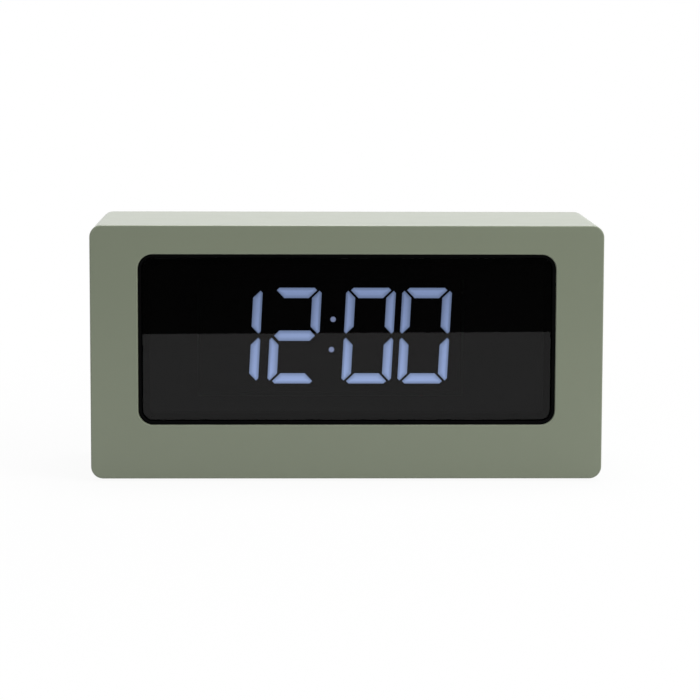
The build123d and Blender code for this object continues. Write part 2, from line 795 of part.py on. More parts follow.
# Rear cover: a plate with the battery bay, the board bosses and the openings of the controls
slider_slot_length = slider_length + slider_travel + 2 * slider_clearance
slider_slot_height = slider_height + 2 * slider_clearance
collar_inner_radius = buzzer_radius + collar_clearance
with BuildPart() as rear_cover:
    with BuildSketch(elevation(cover_outer_y)):
        with Locations((0, case_mid_z)):
            RectangleRounded(cover_width, cover_height, cover_corner_radius)
    extrude(amount=cover_thickness)
    fillet(rear_cover.faces().sort_by(Axis.Y)[-1].edges(), cover_edge_fillet)
    # Battery bay with a saddle under each cell
    with BuildSketch(elevation(cover_inner_y)):
        with Locations((0, bay_mid_z)):
            Rectangle(bay_width + 2 * bay_wall, bay_height + 2 * bay_wall)
    extrude(amount=cover_inner_y - bay_floor_y)
    with BuildSketch(elevation(cover_outer_y + cut_overrun)):
        with Locations((0, bay_mid_z)):
            Rectangle(opening_width, opening_height)
    extrude(amount=cover_thickness + cut_overrun, mode=Mode.SUBTRACT)
    with BuildSketch(elevation(cover_inner_y)):
        with Locations((0, bay_mid_z)):
            Rectangle(bay_width, bay_height)
    extrude(amount=cover_inner_y - saddle_y, mode=Mode.SUBTRACT)
    with BuildSketch(Plane.YZ.offset(-bay_width / 2)):
        with Locations(*[(cell_axis_y, cell_z) for cell_z, end in cells]):
            Circle(cell_radius + cell_clearance)
    extrude(amount=bay_width, mode=Mode.SUBTRACT)
    with BuildSketch(elevation(saddle_y)):
        with Locations(*tab_places):
            Rectangle(contact_thickness + 2 * tab_clearance, tab_width + 2 * tab_clearance)
    extrude(amount=saddle_y - bay_floor_y + cut_overrun, mode=Mode.SUBTRACT)
    # Hinge sockets in both sides of the door opening, and a scoop for a fingernail above the door
    socket_end = opening_width / 2 - door_clearance + hinge_pin_length + hinge_end_gap
    with BuildSketch(Plane.YZ.offset(-socket_end)):
        with Locations((hinge_y, hinge_z)):
            Circle(hinge_pin_radius + hinge_clearance)
    extrude(amount=2 * socket_end, mode=Mode.SUBTRACT)
    with BuildSketch(elevation(cover_outer_y)):
        with Locations((0, opening_top_z)):
            SlotOverall(scoop_length, scoop_height)
    extrude(amount=scoop_depth, taper=scoop_taper, mode=Mode.SUBTRACT)
    # Bosses for the main board
    with BuildSketch(elevation(cover_inner_y)):
        with Locations(*main_boss_places):
            Circle(main_boss_radius)
    extrude(amount=main_board_gap)
    with BuildSketch(elevation(main_board_rear_y)):
        with Locations(*main_boss_places):
            Circle(board_screw_radius + pilot_clearance)
    extrude(amount=-(board_screw_length - board_thickness + pilot_end_gap), mode=Mode.SUBTRACT)
    # Collar and sound holes for the buzzer
    with BuildSketch(elevation(cover_inner_y)):
        with Locations((buzzer_x, control_row_z)):
            Circle(collar_inner_radius + collar_wall)
            Circle(collar_inner_radius, mode=Mode.SUBTRACT)
    extrude(amount=collar_height)
    with BuildSketch(elevation(cover_outer_y)):
        with Locations((buzzer_x, control_row_z)):
            Circle(sound_hole_radius)
            with PolarLocations(sound_hole_ring_radius, sound_hole_count):
                Circle(sound_hole_radius)
    extrude(amount=cover_thickness, mode=Mode.SUBTRACT)
    # Openings for the buttons, the slider and the power inlet
    with BuildSketch(elevation(cover_outer_y + cut_overrun)):
        with Locations(*[(button_x, control_row_z) for button_x in button_places]):
            SlotOverall(button_length + 2 * button_clearance, button_height + 2 * button_clearance)
        with Locations((slider_x, control_row_z)):
            Rectangle(slider_slot_length, slider_slot_height)
        with Locations((inlet_x, control_row_z)):
            SlotOverall(inlet_width + 2 * inlet_clearance, inlet_height + 2 * inlet_clearance)
    extrude(amount=cover_thickness + 2 * cut_overrun, mode=Mode.SUBTRACT)
    # Counterbored screw holes
    with Locations(*[facing(1, x, cover_outer_y, z) for x, z in cover_screw_places]):
        CounterBoreHole(
            cover_screw_radius + screw_hole_clearance,
            cover_screw_head_radius + screw_head_clearance,
            cover_counterbore_depth,
        )
save(rear_cover.part, "rear_cover")

# Battery door: its lower edge is round about the hinge axis
with BuildPart() as battery_door:
    with BuildSketch(Plane.YZ):
        with BuildLine():
            Polyline(
                (door_inner_y, hinge_z),
                (door_inner_y, door_top_z),
                (cover_outer_y, door_top_z),
                (cover_outer_y, hinge_z),
            )
            ThreePointArc(
                (cover_outer_y, hinge_z),
                (hinge_y, hinge_z - door_thickness / 2),
                (door_inner_y, hinge_z),
            )
        make_face()
    extrude(amount=door_width / 2, both=True)
    fillet(battery_door.edges().filter_by(Axis.X).group_by(Axis.Y)[-1].sort_by(Axis.Z)[-1], door_edge_fillet)
    # Ribs inside that keep the cells on their saddles
    rib_x = door_width * door_rib_spread_share
    with BuildSketch(elevation(door_inner_y)):
        with Locations((-rib_x, bay_mid_z), (rib_x, bay_mid_z)):
            Rectangle(door_rib_width, opening_height - 2 * door_rib_end)
    extrude(amount=door_rib_height)
    # Hinge pins and the two beads that snap past the sides of the opening
    pin_end = door_width / 2 + hinge_pin_length
    with BuildSketch(Plane.YZ.offset(-pin_end)):
        with Locations((hinge_y, hinge_z)):
            Circle(hinge_pin_radius)
    extrude(amount=2 * pin_end)
    bead_x = door_width / 2 + bead_proud - bead_radius
    with BuildSketch(Plane.XY.offset(door_top_z - bead_drop)):
        with Locations((-bead_x, hinge_y), (bead_x, hinge_y)):
            Circle(bead_radius)
    extrude(amount=-bead_length)
save(battery_door.part, "battery_door")

# Battery cells: each one's positive end touches a contact's bump, and its other end a spring
cell_end = bay_width / 2 - contact_thickness - bump_height - bump_clearance
with BuildPart() as battery_cells:
    for cell_z, end in cells:
        negative_end = Plane(origin=(end * (cell_end - cell_length), cell_axis_y, cell_z), z_dir=(end, 0, 0))
        with BuildSketch(negative_end):
            Circle(cell_radius)
        extrude(amount=cell_length - cell_nub_height)
        with BuildSketch(negative_end):
            Circle(cell_nub_radius)
        extrude(amount=cell_length)
    chamfer(battery_cells.edges().filter_by(GeomType.CIRCLE).group_by(SortBy.RADIUS)[-1], cell_edge_chamfer)
save(battery_cells.part, "battery_cells")

# Contacts: a plate behind each end, shared by two cells where they join, with tabs for the two leads
contact_face_x = bay_width / 2 - contact_thickness
single_height = cell_pitch - contact_gap
contact_plates_at = [
    (-1, cells[0][0], single_height),
    (-1, (cells[1][0] + cells[2][0]) / 2, cell_pitch + single_height),
    (1, (cells[0][0] + cells[1][0]) / 2, cell_pitch + single_height),
    (1, cells[2][0], single_height),
]
with BuildPart() as battery_contacts:
    for side, plate_z, plate_height in contact_plates_at:
        with BuildSketch(Plane(origin=(side * contact_face_x, 0, 0), x_dir=(0, side, 0), z_dir=(side, 0, 0))):
            with Locations((side * (saddle_y + cell_axis_y + contact_rise) / 2, plate_z)):
                Rectangle(cell_axis_y + contact_rise - saddle_y, plate_height)
        extrude(amount=contact_thickness)
    for tab_x, tab_z in tab_places:
        with BuildSketch(elevation(saddle_y)):
            with Locations((tab_x, tab_z)):
                Rectangle(contact_thickness, tab_width)
        extrude(amount=saddle_y - bay_floor_y + tab_length)
    for cell_z, end in cells:
        with BuildSketch(Plane(origin=(end * contact_face_x, cell_axis_y, cell_z), z_dir=(-end, 0, 0))):
            Circle(bump_radius)
        extrude(amount=bump_height)
save(battery_contacts.part, "battery_contacts")

# Springs: a tapering coil behind the negative end of each cell, on pairs of tangent arcs for each half turn
half_turns = 2 * spring_turns
with BuildPart() as battery_springs:
    for cell_z, end in cells:
        coil_origin = (-end * contact_face_x, cell_axis_y, cell_z)
        with BuildLine() as coil:
            for half_turn in range(half_turns):
                start, start_tangent = helix_point(half_turn / 2, end, coil_origin)
                finish, finish_tangent = helix_point((half_turn + 1) / 2, end, coil_origin)
                joint = biarc_joint(start, start_tangent, finish, finish_tangent)
                arc = TangentArc(start, joint, tangent=start_tangent)
                TangentArc(joint, finish, tangent=arc % 1)
        coil_start, coil_direction = helix_point(0, end, coil_origin)
        with BuildSketch(Plane(origin=coil_start, z_dir=coil_direction)):
            RegularPolygon(spring_wire_radius, spring_wire_sides)
        sweep(path=coil.wires()[0])
save(battery_springs.part, "battery_springs")

turn_step = (spring_length - 2 * spring_wire_radius) / spring_turns
taper_step = (spring_base_radius - spring_tip_radius) / spring_turns
turn_gap = sqrt(turn_step**2 + taper_step**2) - 2 * spring_wire_radius
print("least gap between the turns of a spring:", round(turn_gap, 2))

# Leads from the two outer contacts to the main board, by way of the middle of the gap between the boards
lead_pad_z = control_row_z - main_board_height / 2 + lead_pad_margin
lead_start_y = bay_floor_y - lead_start_gap
lead_low_y = (display_board_rear_y + main_board_front_y) / 2 + lead_offset
# A narrow gap leaves room for a smaller bend
lead_bend = min(lead_bend_radius, lead_start_y - lead_low_y - lead_straight)
for name, (tab_x, tab_z) in zip(("negative_lead", "positive_lead"), tab_places):
    side = 1 if tab_x > 0 else -1
    lead_x = tab_x - side * (contact_thickness / 2 + lead_radius)
    with BuildPart() as lead:
        with BuildLine() as lead_path:
            FilletPolyline(
                (lead_x, lead_start_y, tab_z),
                (lead_x, lead_low_y, tab_z),
                (lead_x, lead_low_y, lead_pad_z),
                (lead_x, main_board_front_y, lead_pad_z),
                radius=lead_bend,
            )
        with BuildSketch(elevation(lead_start_y)):
            with Locations((lead_x, tab_z)):
                Circle(lead_radius)
        sweep(path=lead_path.wires()[0])
    save(lead.part, name)
print("bend radius of the leads:", lead_bend)

# Main board with its switches, the slide switch, the buzzer and the power inlet on its rear side
with BuildPart() as main_board:
    with BuildSketch(elevation(main_board_rear_y)):
        with Locations((0, control_row_z)):
            Rectangle(2 * main_board_half_width, main_board_height)
        with Locations(*main_boss_places):
            Circle(board_screw_radius + screw_hole_clearance, mode=Mode.SUBTRACT)
    extrude(amount=board_thickness)
save(main_board.part, "main_board")

switch_top_y = main_board_rear_y + switch_height
with BuildPart() as switch_bodies:
    with BuildSketch(elevation(switch_top_y)):
        with Locations(*[(button_x, control_row_z) for button_x in button_places]):
            Rectangle(switch_size, switch_size)
    extrude(amount=switch_height)
    chamfer(switch_bodies.edges().filter_by(Axis.Y), switch_chamfer)
    with BuildSketch(elevation(switch_top_y)):
        with Locations(*[(button_x, control_row_z) for button_x in button_places]):
            Circle(plunger_radius + plunger_clearance)
    extrude(amount=plunger_insert + button_travel + plunger_end_gap, mode=Mode.SUBTRACT)
save(switch_bodies.part, "switch_bodies")

# Each button: a cap through the cover, a flange that keeps it in, and a stem on the switch's plunger
plunger_top_y = switch_top_y + plunger_rise
button_flange_y = cover_inner_y - button_flange_gap
for name, button_x in zip(button_names, button_places):
    with BuildPart() as button:
        with BuildSketch(elevation(cover_outer_y + button_proud)):
            with Locations((button_x, control_row_z)):
                SlotOverall(button_length, button_height)
        extrude(amount=cover_outer_y + button_proud - button_flange_y)
        fillet(button.faces().sort_by(Axis.Y)[-1].edges(), button_edge_fillet)
        with BuildSketch(elevation(button_flange_y)):
            with Locations((button_x, control_row_z)):
                SlotOverall(button_length + 2 * button_flange_width, button_height + 2 * button_flange_width)
        extrude(amount=button_flange_thickness)
        with BuildSketch(elevation(button_flange_y - button_flange_thickness)):
            with Locations((button_x, control_row_z)):
                Circle(button_stem_radius)
        extrude(amount=button_flange_y - button_flange_thickness - plunger_top_y)
    save(button.part, f"{name}_button")
    with BuildPart() as plunger:
        with BuildSketch(elevation(plunger_top_y)):
            with Locations((button_x, control_row_z)):
                Circle(plunger_radius)
        extrude(amount=plunger_rise + plunger_insert)
    save(plunger.part, f"{name}_switch_plunger")

slide_body_top_y = main_board_rear_y + slide_body_depth
with BuildPart() as slide_switch_body:
    with BuildSketch(elevation(slide_body_top_y)):
        with Locations((slider_x, control_row_z)):
            Rectangle(slide_body_length, slide_body_height)
    extrude(amount=slide_body_depth)
    with BuildSketch(elevation(slide_body_top_y)):
        with Locations((slider_x, control_row_z)):
            Rectangle(lever_length + slider_travel + 2 * lever_clearance, lever_height + 2 * lever_clearance)
    extrude(amount=lever_insert + lever_clearance, mode=Mode.SUBTRACT)
save(slide_switch_body.part, "slide_switch_body")

# Alarm slider: a grooved knob in the cover's slot, a flange behind the slot and a lever in the switch
slider_rest_x = slider_x - slider_travel / 2
slider_top_y = cover_outer_y + slider_proud
slider_flange_y = cover_inner_y - slider_flange_gap
with BuildPart() as alarm_slider:
    with BuildSketch(elevation(slider_top_y)):
        with Locations((slider_rest_x, control_row_z)):
            Rectangle(slider_length, slider_height)
    extrude(amount=slider_top_y - slider_flange_y)
    with BuildSketch(elevation(slider_top_y)):
        with Locations((slider_rest_x, control_row_z)):
            with GridLocations(slider_groove_pitch, 0, slider_groove_count, 1):
                Rectangle(slider_groove_width, slider_height)
    extrude(amount=slider_groove_depth, mode=Mode.SUBTRACT)
    with BuildSketch(elevation(slider_flange_y)):
        with Locations((slider_rest_x, control_row_z)):
            Rectangle(
                slider_slot_length + slider_travel + 2 * slider_cover_overlap,
                slider_slot_height + 2 * slider_cover_overlap,
            )
    extrude(amount=slider_flange_thickness)
    with BuildSketch(elevation(slider_flange_y)):
        with Locations((slider_rest_x, control_row_z)):
            Rectangle(lever_length, lever_height)
    extrude(amount=slider_flange_y - slide_body_top_y + lever_insert)
save(alarm_slider.part, "alarm_slider")

buzzer_top_y = main_board_rear_y + buzzer_height
with BuildPart() as buzzer:
    with BuildSketch(elevation(buzzer_top_y)):
        with Locations((buzzer_x, control_row_z)):
            Circle(buzzer_radius)
    extrude(amount=buzzer_height)
    chamfer(buzzer.edges().sort_by(Axis.Y)[-1], buzzer_edge_chamfer)
    with BuildSketch(elevation(buzzer_top_y)):
        with Locations((buzzer_x, control_row_z)):
            Circle(buzzer_port_radius)
    extrude(amount=buzzer_port_depth, mode=Mode.SUBTRACT)
save(buzzer.part, "buzzer")

inlet_mouth_y = cover_outer_y - inlet_setback
inlet_floor_y = main_board_rear_y + inlet_base
with BuildPart() as inlet_shell:
    with BuildSketch(elevation(inlet_mouth_y)):
        with Locations((inlet_x, control_row_z)):
            SlotOverall(inlet_width, inlet_height)
    extrude(amount=inlet_mouth_y - main_board_rear_y)
    with BuildSketch(elevation(inlet_mouth_y)):
        with Locations((inlet_x, control_row_z)):
            SlotOverall(inlet_width - 2 * inlet_wall, inlet_height - 2 * inlet_wall)
    extrude(amount=inlet_mouth_y - inlet_floor_y, mode=Mode.SUBTRACT)
save(inlet_shell.part, "inlet_shell")

with BuildPart() as inlet_tongue:
    with BuildSketch(elevation(inlet_mouth_y - tongue_setback)):
        with Locations((inlet_x, control_row_z)):
            Rectangle(tongue_width, tongue_thickness)
    extrude(amount=inlet_mouth_y - tongue_setback - inlet_floor_y)
save(inlet_tongue.part, "inlet_tongue")

# Ribbon cable between the connectors of the two boards
display_connector_z = window_z - display_connector_drop
ribbon_start_y = display_board_rear_y + connector_depth
ribbon_end_y = main_board_front_y - connector_depth
ribbon_middle_y = (ribbon_start_y + ribbon_end_y) / 2
connectors = (
    ("display_connector", display_board_rear_y, 1, display_connector_z),
    ("main_connector", main_board_front_y, -1, control_row_z),
)
for name, board_y, sign, connector_z in connectors:
    with BuildPart() as connector:
        with BuildSketch(facing(sign, 0, board_y, connector_z)):
            Rectangle(connector_length, connector_height)
        extrude(amount=connector_depth)
        chamfer(connector.edges().filter_by(Axis.Y), connector_chamfer)
    save(connector.part, name)

with BuildPart() as ribbon_cable:
    with BuildLine(Plane.YZ) as ribbon_path:
        FilletPolyline(
            (ribbon_start_y, display_connector_z),
            (ribbon_middle_y, display_connector_z),
            (ribbon_middle_y, control_row_z),
            (ribbon_end_y, control_row_z),
            radius=(ribbon_end_y - ribbon_start_y) * ribbon_bend_share,
        )
    with BuildSketch(elevation(ribbon_start_y)):
        with Locations((0, display_connector_z)):
            Rectangle(ribbon_width, ribbon_thickness)
    sweep(path=ribbon_path.wires()[0])
save(ribbon_cable.part, "ribbon_cable")

# Chips, crystal and capacitor
chip = chip_piece()
with BuildPart() as controller_chip:
    with Locations(facing(-1, chip_x, main_board_front_y, control_row_z)):
        add(chip)
save(controller_chip.part, "controller_chip")

with BuildPart() as display_driver_chip:
    with Locations(facing(1, driver_x, display_board_rear_y, window_z)):
        add(chip)
save(display_driver_chip.part, "display_driver_chip")

with BuildPart() as clock_crystal:
    with BuildSketch(facing(-1, crystal_x, main_board_front_y, control_row_z)):
        SlotOverall(crystal_length, crystal_width)
    extrude(amount=crystal_height)
    chamfer(clock_crystal.faces().sort_by(Axis.Y)[0].edges(), crystal_edge_chamfer)
    with BuildSketch(facing(-1, crystal_x, main_board_front_y, control_row_z)):
        SlotOverall(crystal_length + 2 * crystal_rim, crystal_width + 2 * crystal_rim)
    extrude(amount=crystal_rim_height)
save(clock_crystal.part, "clock_crystal")

with BuildPart() as power_capacitor:
    with BuildSketch(facing(-1, capacitor_x, main_board_front_y, control_row_z)):
        base_size = 2 * (capacitor_radius + capacitor_base_margin)
        Rectangle(base_size, base_size)
    extrude(amount=capacitor_base)
    with BuildSketch(facing(-1, capacitor_x, main_board_front_y, control_row_z)):
        Circle(capacitor_radius)
    extrude(amount=capacitor_height)
    chamfer(power_capacitor.edges().sort_by(Axis.Y)[0], capacitor_edge_chamfer)
save(power_capacitor.part, "power_capacitor")
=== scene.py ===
import math

import bpy
from bpy.props import FloatProperty, FloatVectorProperty, PointerProperty
from bpy.types import Operator, Panel, PropertyGroup
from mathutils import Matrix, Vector


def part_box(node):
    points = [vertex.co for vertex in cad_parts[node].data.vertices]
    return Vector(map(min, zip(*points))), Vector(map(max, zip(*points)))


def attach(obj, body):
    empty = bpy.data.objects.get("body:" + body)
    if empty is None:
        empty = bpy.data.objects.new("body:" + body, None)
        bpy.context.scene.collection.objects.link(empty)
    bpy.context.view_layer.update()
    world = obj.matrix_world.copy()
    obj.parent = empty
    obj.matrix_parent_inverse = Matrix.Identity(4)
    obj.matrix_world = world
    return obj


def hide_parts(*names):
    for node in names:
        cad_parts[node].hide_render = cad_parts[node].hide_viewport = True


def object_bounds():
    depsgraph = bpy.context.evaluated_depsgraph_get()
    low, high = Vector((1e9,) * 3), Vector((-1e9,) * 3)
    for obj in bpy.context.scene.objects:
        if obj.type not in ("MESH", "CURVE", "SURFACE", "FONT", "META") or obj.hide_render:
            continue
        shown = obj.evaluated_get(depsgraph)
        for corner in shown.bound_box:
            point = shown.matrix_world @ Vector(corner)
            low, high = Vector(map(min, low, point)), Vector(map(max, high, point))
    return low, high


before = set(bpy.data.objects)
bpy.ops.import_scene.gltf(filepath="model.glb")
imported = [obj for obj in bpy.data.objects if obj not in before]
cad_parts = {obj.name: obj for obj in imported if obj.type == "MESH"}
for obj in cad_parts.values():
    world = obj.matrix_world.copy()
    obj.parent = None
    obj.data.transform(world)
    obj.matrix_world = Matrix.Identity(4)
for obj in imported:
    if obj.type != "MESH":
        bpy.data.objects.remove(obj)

# The looks of a digital desk clock around its packed solids. Lengths are in metres, the front faces -Y,
# +Z is up, and the origin is on the table under the middle of the case.

bl_info = {
    "name": "Desk Clock",
    "version": (1, 0, 0),
    "blender": (4, 5, 0),
    "location": "View3D > Sidebar > Desk Clock",
    "description": "Finishes a digital desk clock: case, window, display, controls, boards and stage",
    "category": "Object",
}

MM = 0.001
CAD_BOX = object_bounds()
COVER_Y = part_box("rear_cover")[1].y
# Signs start a little under the surface of the cover
SIGN_SINK = 0.02 * MM
SIGN_Y = COVER_Y - SIGN_SINK
DOOR_LOW, DOOR_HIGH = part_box("battery_door")
DIGITS_LOW, DIGITS_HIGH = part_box("lit_segments")
BUTTON_NAMES = ("mode", "down", "up", "alarm", "snooze")
# A flat sign faces the rear: its own x runs to the viewer's right, which is -X, and its own y runs up
FACING_REAR = (math.pi / 2, 0, math.pi)
UPSIDE_DOWN = (-math.pi / 2, 0, 0)
# A battery cell: its length, the length of its pale band, and half the length and width of a sign's line
CELL_LENGTH = 44.5 * MM
CELL_BAND = 12 * MM
CELL_SIGN = 1.9 * MM
CELL_STROKE = 0.35 * MM
# A face of a cell whose normal has more x than this is its bare end
CELL_END = 0.6
# Each ring of a lit segment: its share of the inset and its glow
SEGMENT_RINGS = ((0.4, 0.4), (0.6, 1.0))
# Each ring of a colon dot: its width and its glow
DOT_RINGS = ((0.3 * MM, 0.6), (0.25 * MM, 1.0))
# A light guide taller than this many widths is an upright
UPRIGHT_RATIO = 1.5
# A face whose normal has less y than this faces the front
FACING_FRONT = -0.9
# Corners nearer than this are one corner, and faces flatter than this are one face
WELD_GAP = 0.002 * MM
FLAT_ANGLE = math.radians(0.5)
# The hands of the clock sign end this many strokes inside the outer edge of its ring
HAND_STOP = 1.6
# The bell sign, in shares of half its width: rise and radius of its dome, drop of its foot, drop of its bar
BELL_RISE = 0.25
BELL_RADIUS = 0.62
BELL_DROP = 0.3
BELL_BAR = 0.68
# Width of the bell's foot beside its dome
BELL_FLARE = 1.45
# The bell's bar and clapper, in strokes: width of the bar, drop and radius of the clapper
BAR_WIDTH = 0.7
CLAPPER_DROP = 0.9
CLAPPER_RADIUS = 0.5
# Corners nearer than this to a sign's middle line are on it
MIDDLE_GAP = 0.02 * MM
# Depth of the crescent's inner side beside its outer side, and its tilt
CRESCENT_DEPTH = 0.3
CRESCENT_TILT = math.radians(25)
# The door's grip: its bars, and the rounding of their ends and edges in shares of their width and height
GRIP_BARS = 3
GRIP_END = 0.45
GRIP_EDGE = 0.35
# Edges of the grip that turn less than this are shaded smooth
GRIP_SMOOTH = math.radians(35)
# Colours of the small parts
MILKY_GUIDE = (0.08, 0.085, 0.095)
DARK_GUIDE = (0.006, 0.006, 0.0065)
INLET_STEEL = (0.66, 0.65, 0.62)
INLET_TONGUE = (0.012, 0.012, 0.013)
EPOXY = (0.014, 0.014, 0.015)
SWITCH_STEM = (0.5, 0.5, 0.47)
RED_INSULATION = (0.42, 0.02, 0.015)
BLACK_INSULATION = (0.012, 0.012, 0.012)
CAN_METAL = (0.72, 0.72, 0.71)


def colour_property(name, description, default):
    """A colour that the user can change."""
    return FloatVectorProperty(
        name=name, description=description, default=default, subtype="COLOR", size=3, min=0, max=1
    )


def length_property(name, description, default):
    """A length that the user can change."""
    return FloatProperty(name=name, description=description, default=default, unit="LENGTH", precision=5)


def factor_property(name, description, default):
    """A share from 0 to 1 that the user can change."""
    return FloatProperty(name=name, description=description, default=default, subtype="FACTOR", min=0, max=1)


class CaseSettings(PropertyGroup):
    """The moulded case, rear cover and door."""

    colour: colour_property("Colour", "Sage green of the moulded plastic", (0.165, 0.192, 0.126))
    roughness: factor_property("Roughness", "How matt the satin surface is", 0.38)
    grain_size: length_property("Grain Size", "Width of the grain of the mould", 0.35 * MM)
    grain_depth: length_property("Grain Depth", "Depth of the grain of the mould", 0.012 * MM)
    mottle: factor_property("Mottle", "How much the colour varies over the case", 0.03)
    lacquer: factor_property("Lacquer", "Clear lacquer over the plastic", 1.0)


class DisplaySettings(PropertyGroup):
    """The window, the lens and the lit digits behind it."""

    lens_tint: colour_property("Lens Tint", "What the smoked lens lets through", (0.12, 0.12, 0.122))
    lens_index: FloatProperty(
        name="Lens Index", description="Refraction of the coated lens", default=1.285, min=1, max=2
    )
    glow_centre: colour_property("Glow Centre", "Light along the middle of a lit segment", (0.45, 0.595, 1.0))
    glow_edge: colour_property("Glow Edge", "Light along the edges of a lit segment", (0.261, 0.352, 0.58))
    colon_glow: colour_property("Colon Glow", "Light of the dots of the colon", (0.335, 0.405, 0.645))
    strength: FloatProperty(name="Strength", description="Strength of the light", default=5.35, min=0, max=10)
    bar_top: factor_property("Bar Top", "Light of the top bars beside the bottom bars", 0.745)
    upright_foot: factor_property("Upright Foot", "Light of an upright's foot beside the bottom bars", 0.977)
    upright_top: factor_property("Upright Top", "Light of an upright's top beside the bottom bars", 0.613)
    glow_inset: length_property("Glow Inset", "Distance from a segment's edge to its full glow", 1.25 * MM)
    black: colour_property("Black", "Plastic round the lens and the digits", (0.002, 0.002, 0.0022))


class ControlSettings(PropertyGroup):
    """The buttons and the slider on the rear, and the signs beside them."""

    colour: colour_property("Colour", "Dark plastic of the buttons and the slider", (0.021, 0.024, 0.021))
    ink: colour_property("Ink", "Pale print of the signs", (0.62, 0.64, 0.58))
    sign_size: length_property("Sign Size", "Width of a sign", 3.4 * MM)
    sign_rise: length_property("Sign Rise", "Height of a sign above its button", 6.0 * MM)
    sign_height: length_property("Sign Height", "How far a sign stands proud of the cover", 0.12 * MM)
    stroke: length_property("Stroke", "Width of a sign's lines", 0.45 * MM)
    word_size: length_property("Word Size", "Height of the words' lines", 2.6 * MM)
    word_spread: length_property("Word Spread", "Distance of a word from the slider's middle", 2.8 * MM)
    grip_drop: length_property("Grip Drop", "Distance of the first grip bar from the door's top", 3.5 * MM)
    grip_pitch: length_property("Grip Pitch", "Distance between the grip bars", 2.0 * MM)
    grip_length: length_property("Grip Length", "Length of a grip bar", 11.0 * MM)
    grip_width: length_property("Grip Width", "Width of a grip bar", 0.9 * MM)
    grip_height: length_property("Grip Height", "How far a grip bar stands proud of the door", 0.5 * MM)


class InsideSettings(PropertyGroup):
    """The boards, the batteries and the other pieces inside."""

    board: colour_property("Board", "Solder mask of the circuit boards", (0.012, 0.09, 0.035))
    copper: colour_property("Copper", "Traces under the solder mask", (0.035, 0.16, 0.06))
    sleeve: colour_property("Sleeve", "Sleeve of a battery cell", (0.03, 0.034, 0.04))
    band: colour_property("Band", "Band at the positive end of a cell", (0.5, 0.52, 0.53))
    steel: colour_property("Steel", "Plated steel of screws, contacts and springs", (0.62, 0.61, 0.58))
    nylon: colour_property("Nylon", "Connector bodies", (0.62, 0.58, 0.47))
    rubber: colour_property("Rubber", "Feet", (0.02, 0.02, 0.02))


class StageSettings(PropertyGroup):
    """The floor, the lights and the camera."""

    floor: colour_property("Floor", "Pale floor", (0.72, 0.72, 0.72))
    floor_glow: factor_property("Floor Glow", "How much of the floor is plain white to the camera", 0.935)
    shadow_reach: length_property("Shadow Reach", "How far from the clock its shadow shows", 0.36)
    floor_size: length_property("Floor Size", "Length of the floor's sides", 6.0)
    table_edge: length_property("Table Edge", "Distance to the front edge of the floor", 0.432)
    table_turn: FloatProperty(
        name="Table Turn",
        description="Turn of the table under the clock",
        default=math.radians(-3.2),
        subtype="ANGLE",
    )
    # The dark sheet in front of the floor's edge is seen only in reflections: it paints a dark reflection in
    # the lens
    reflected_sheet_depth: length_property("Dark Reach", "Depth of the dark room in front of the floor's edge", 1.6)
    ambient: factor_property("Ambient", "Light from all around", 0.225)
    key_power: FloatProperty(name="Key", description="Front light on the right", default=9.9, unit="POWER")
    key_place: FloatVectorProperty(
        name="Key Place",
        description="Where the front light stands",
        default=(0.85, -0.55, 0.65),
        subtype="TRANSLATION",
    )
    top_power: FloatProperty(name="Top", description="Light above the clock", default=11.5, unit="POWER")
    top_place: FloatVectorProperty(
        name="Top Place",
        description="Where the upper light hangs",
        default=(0.05, 0.16, 1.15),
        subtype="TRANSLATION",
    )
    light_size: length_property("Light Size", "Width of each soft light", 0.7)
    camera_place: FloatVectorProperty(
        name="Camera Place",
        description="Where the photograph was taken from",
        default=(-0.0169, -0.9021, 0.1469),
        subtype="TRANSLATION",
    )
    camera_turn: FloatVectorProperty(
        name="Camera Turn",
        description="How the camera is turned",
        default=(math.radians(83.107), math.radians(-0.165), math.radians(-1.152)),
        subtype="EULER",
    )
    camera_lens: FloatProperty(
        name="Lens", description="Focal length on a 36 mm sensor", default=144.9, unit="CAMERA"
    )


class Wire:
    """A shader value: an output socket of a node tree, which Python's operators join to other values."""

    def __init__(self, finish, socket):
        self.finish = finish
        self.socket = socket

    def maths(self, operation, *values):
        """A Math node on these values."""
        return self.finish.node("ShaderNodeMath", {"operation": operation}, dict(enumerate(values)))

    def __add__(self, other):
        return self.maths("ADD", self, other)

    def __radd__(self, other):
        return self.maths("ADD", other, self)

    def __sub__(self, other):
        return self.maths("SUBTRACT", self, other)

    def __rsub__(self, other):
        return self.maths("SUBTRACT", other, self)

    def __mul__(self, other):
        return self.maths("MULTIPLY", self, other)

    def __rmul__(self, other):
        return self.maths("MULTIPLY", other, self)

    def __gt__(self, other):
        return self.maths("GREATER_THAN", self, other)

    def __lt__(self, other):
        return self.maths("LESS_THAN", self, other)

    def __abs__(self):
        return self.maths("ABSOLUTE", self)

    def beside(self, output):
        """Another output of the same node."""
        return Wire(self.finish, self.socket.node.outputs[output])

    def sine(self):
        """The sine of this value."""
        return self.maths("SINE", self)

    def most(self, other):
        """The larger of two values."""
        return self.maths("MAXIMUM", self, other)

    def wrapped(self, span):
        """This value repeated over a span about zero."""
        return self.maths("WRAP", self, span / 2, -span / 2)


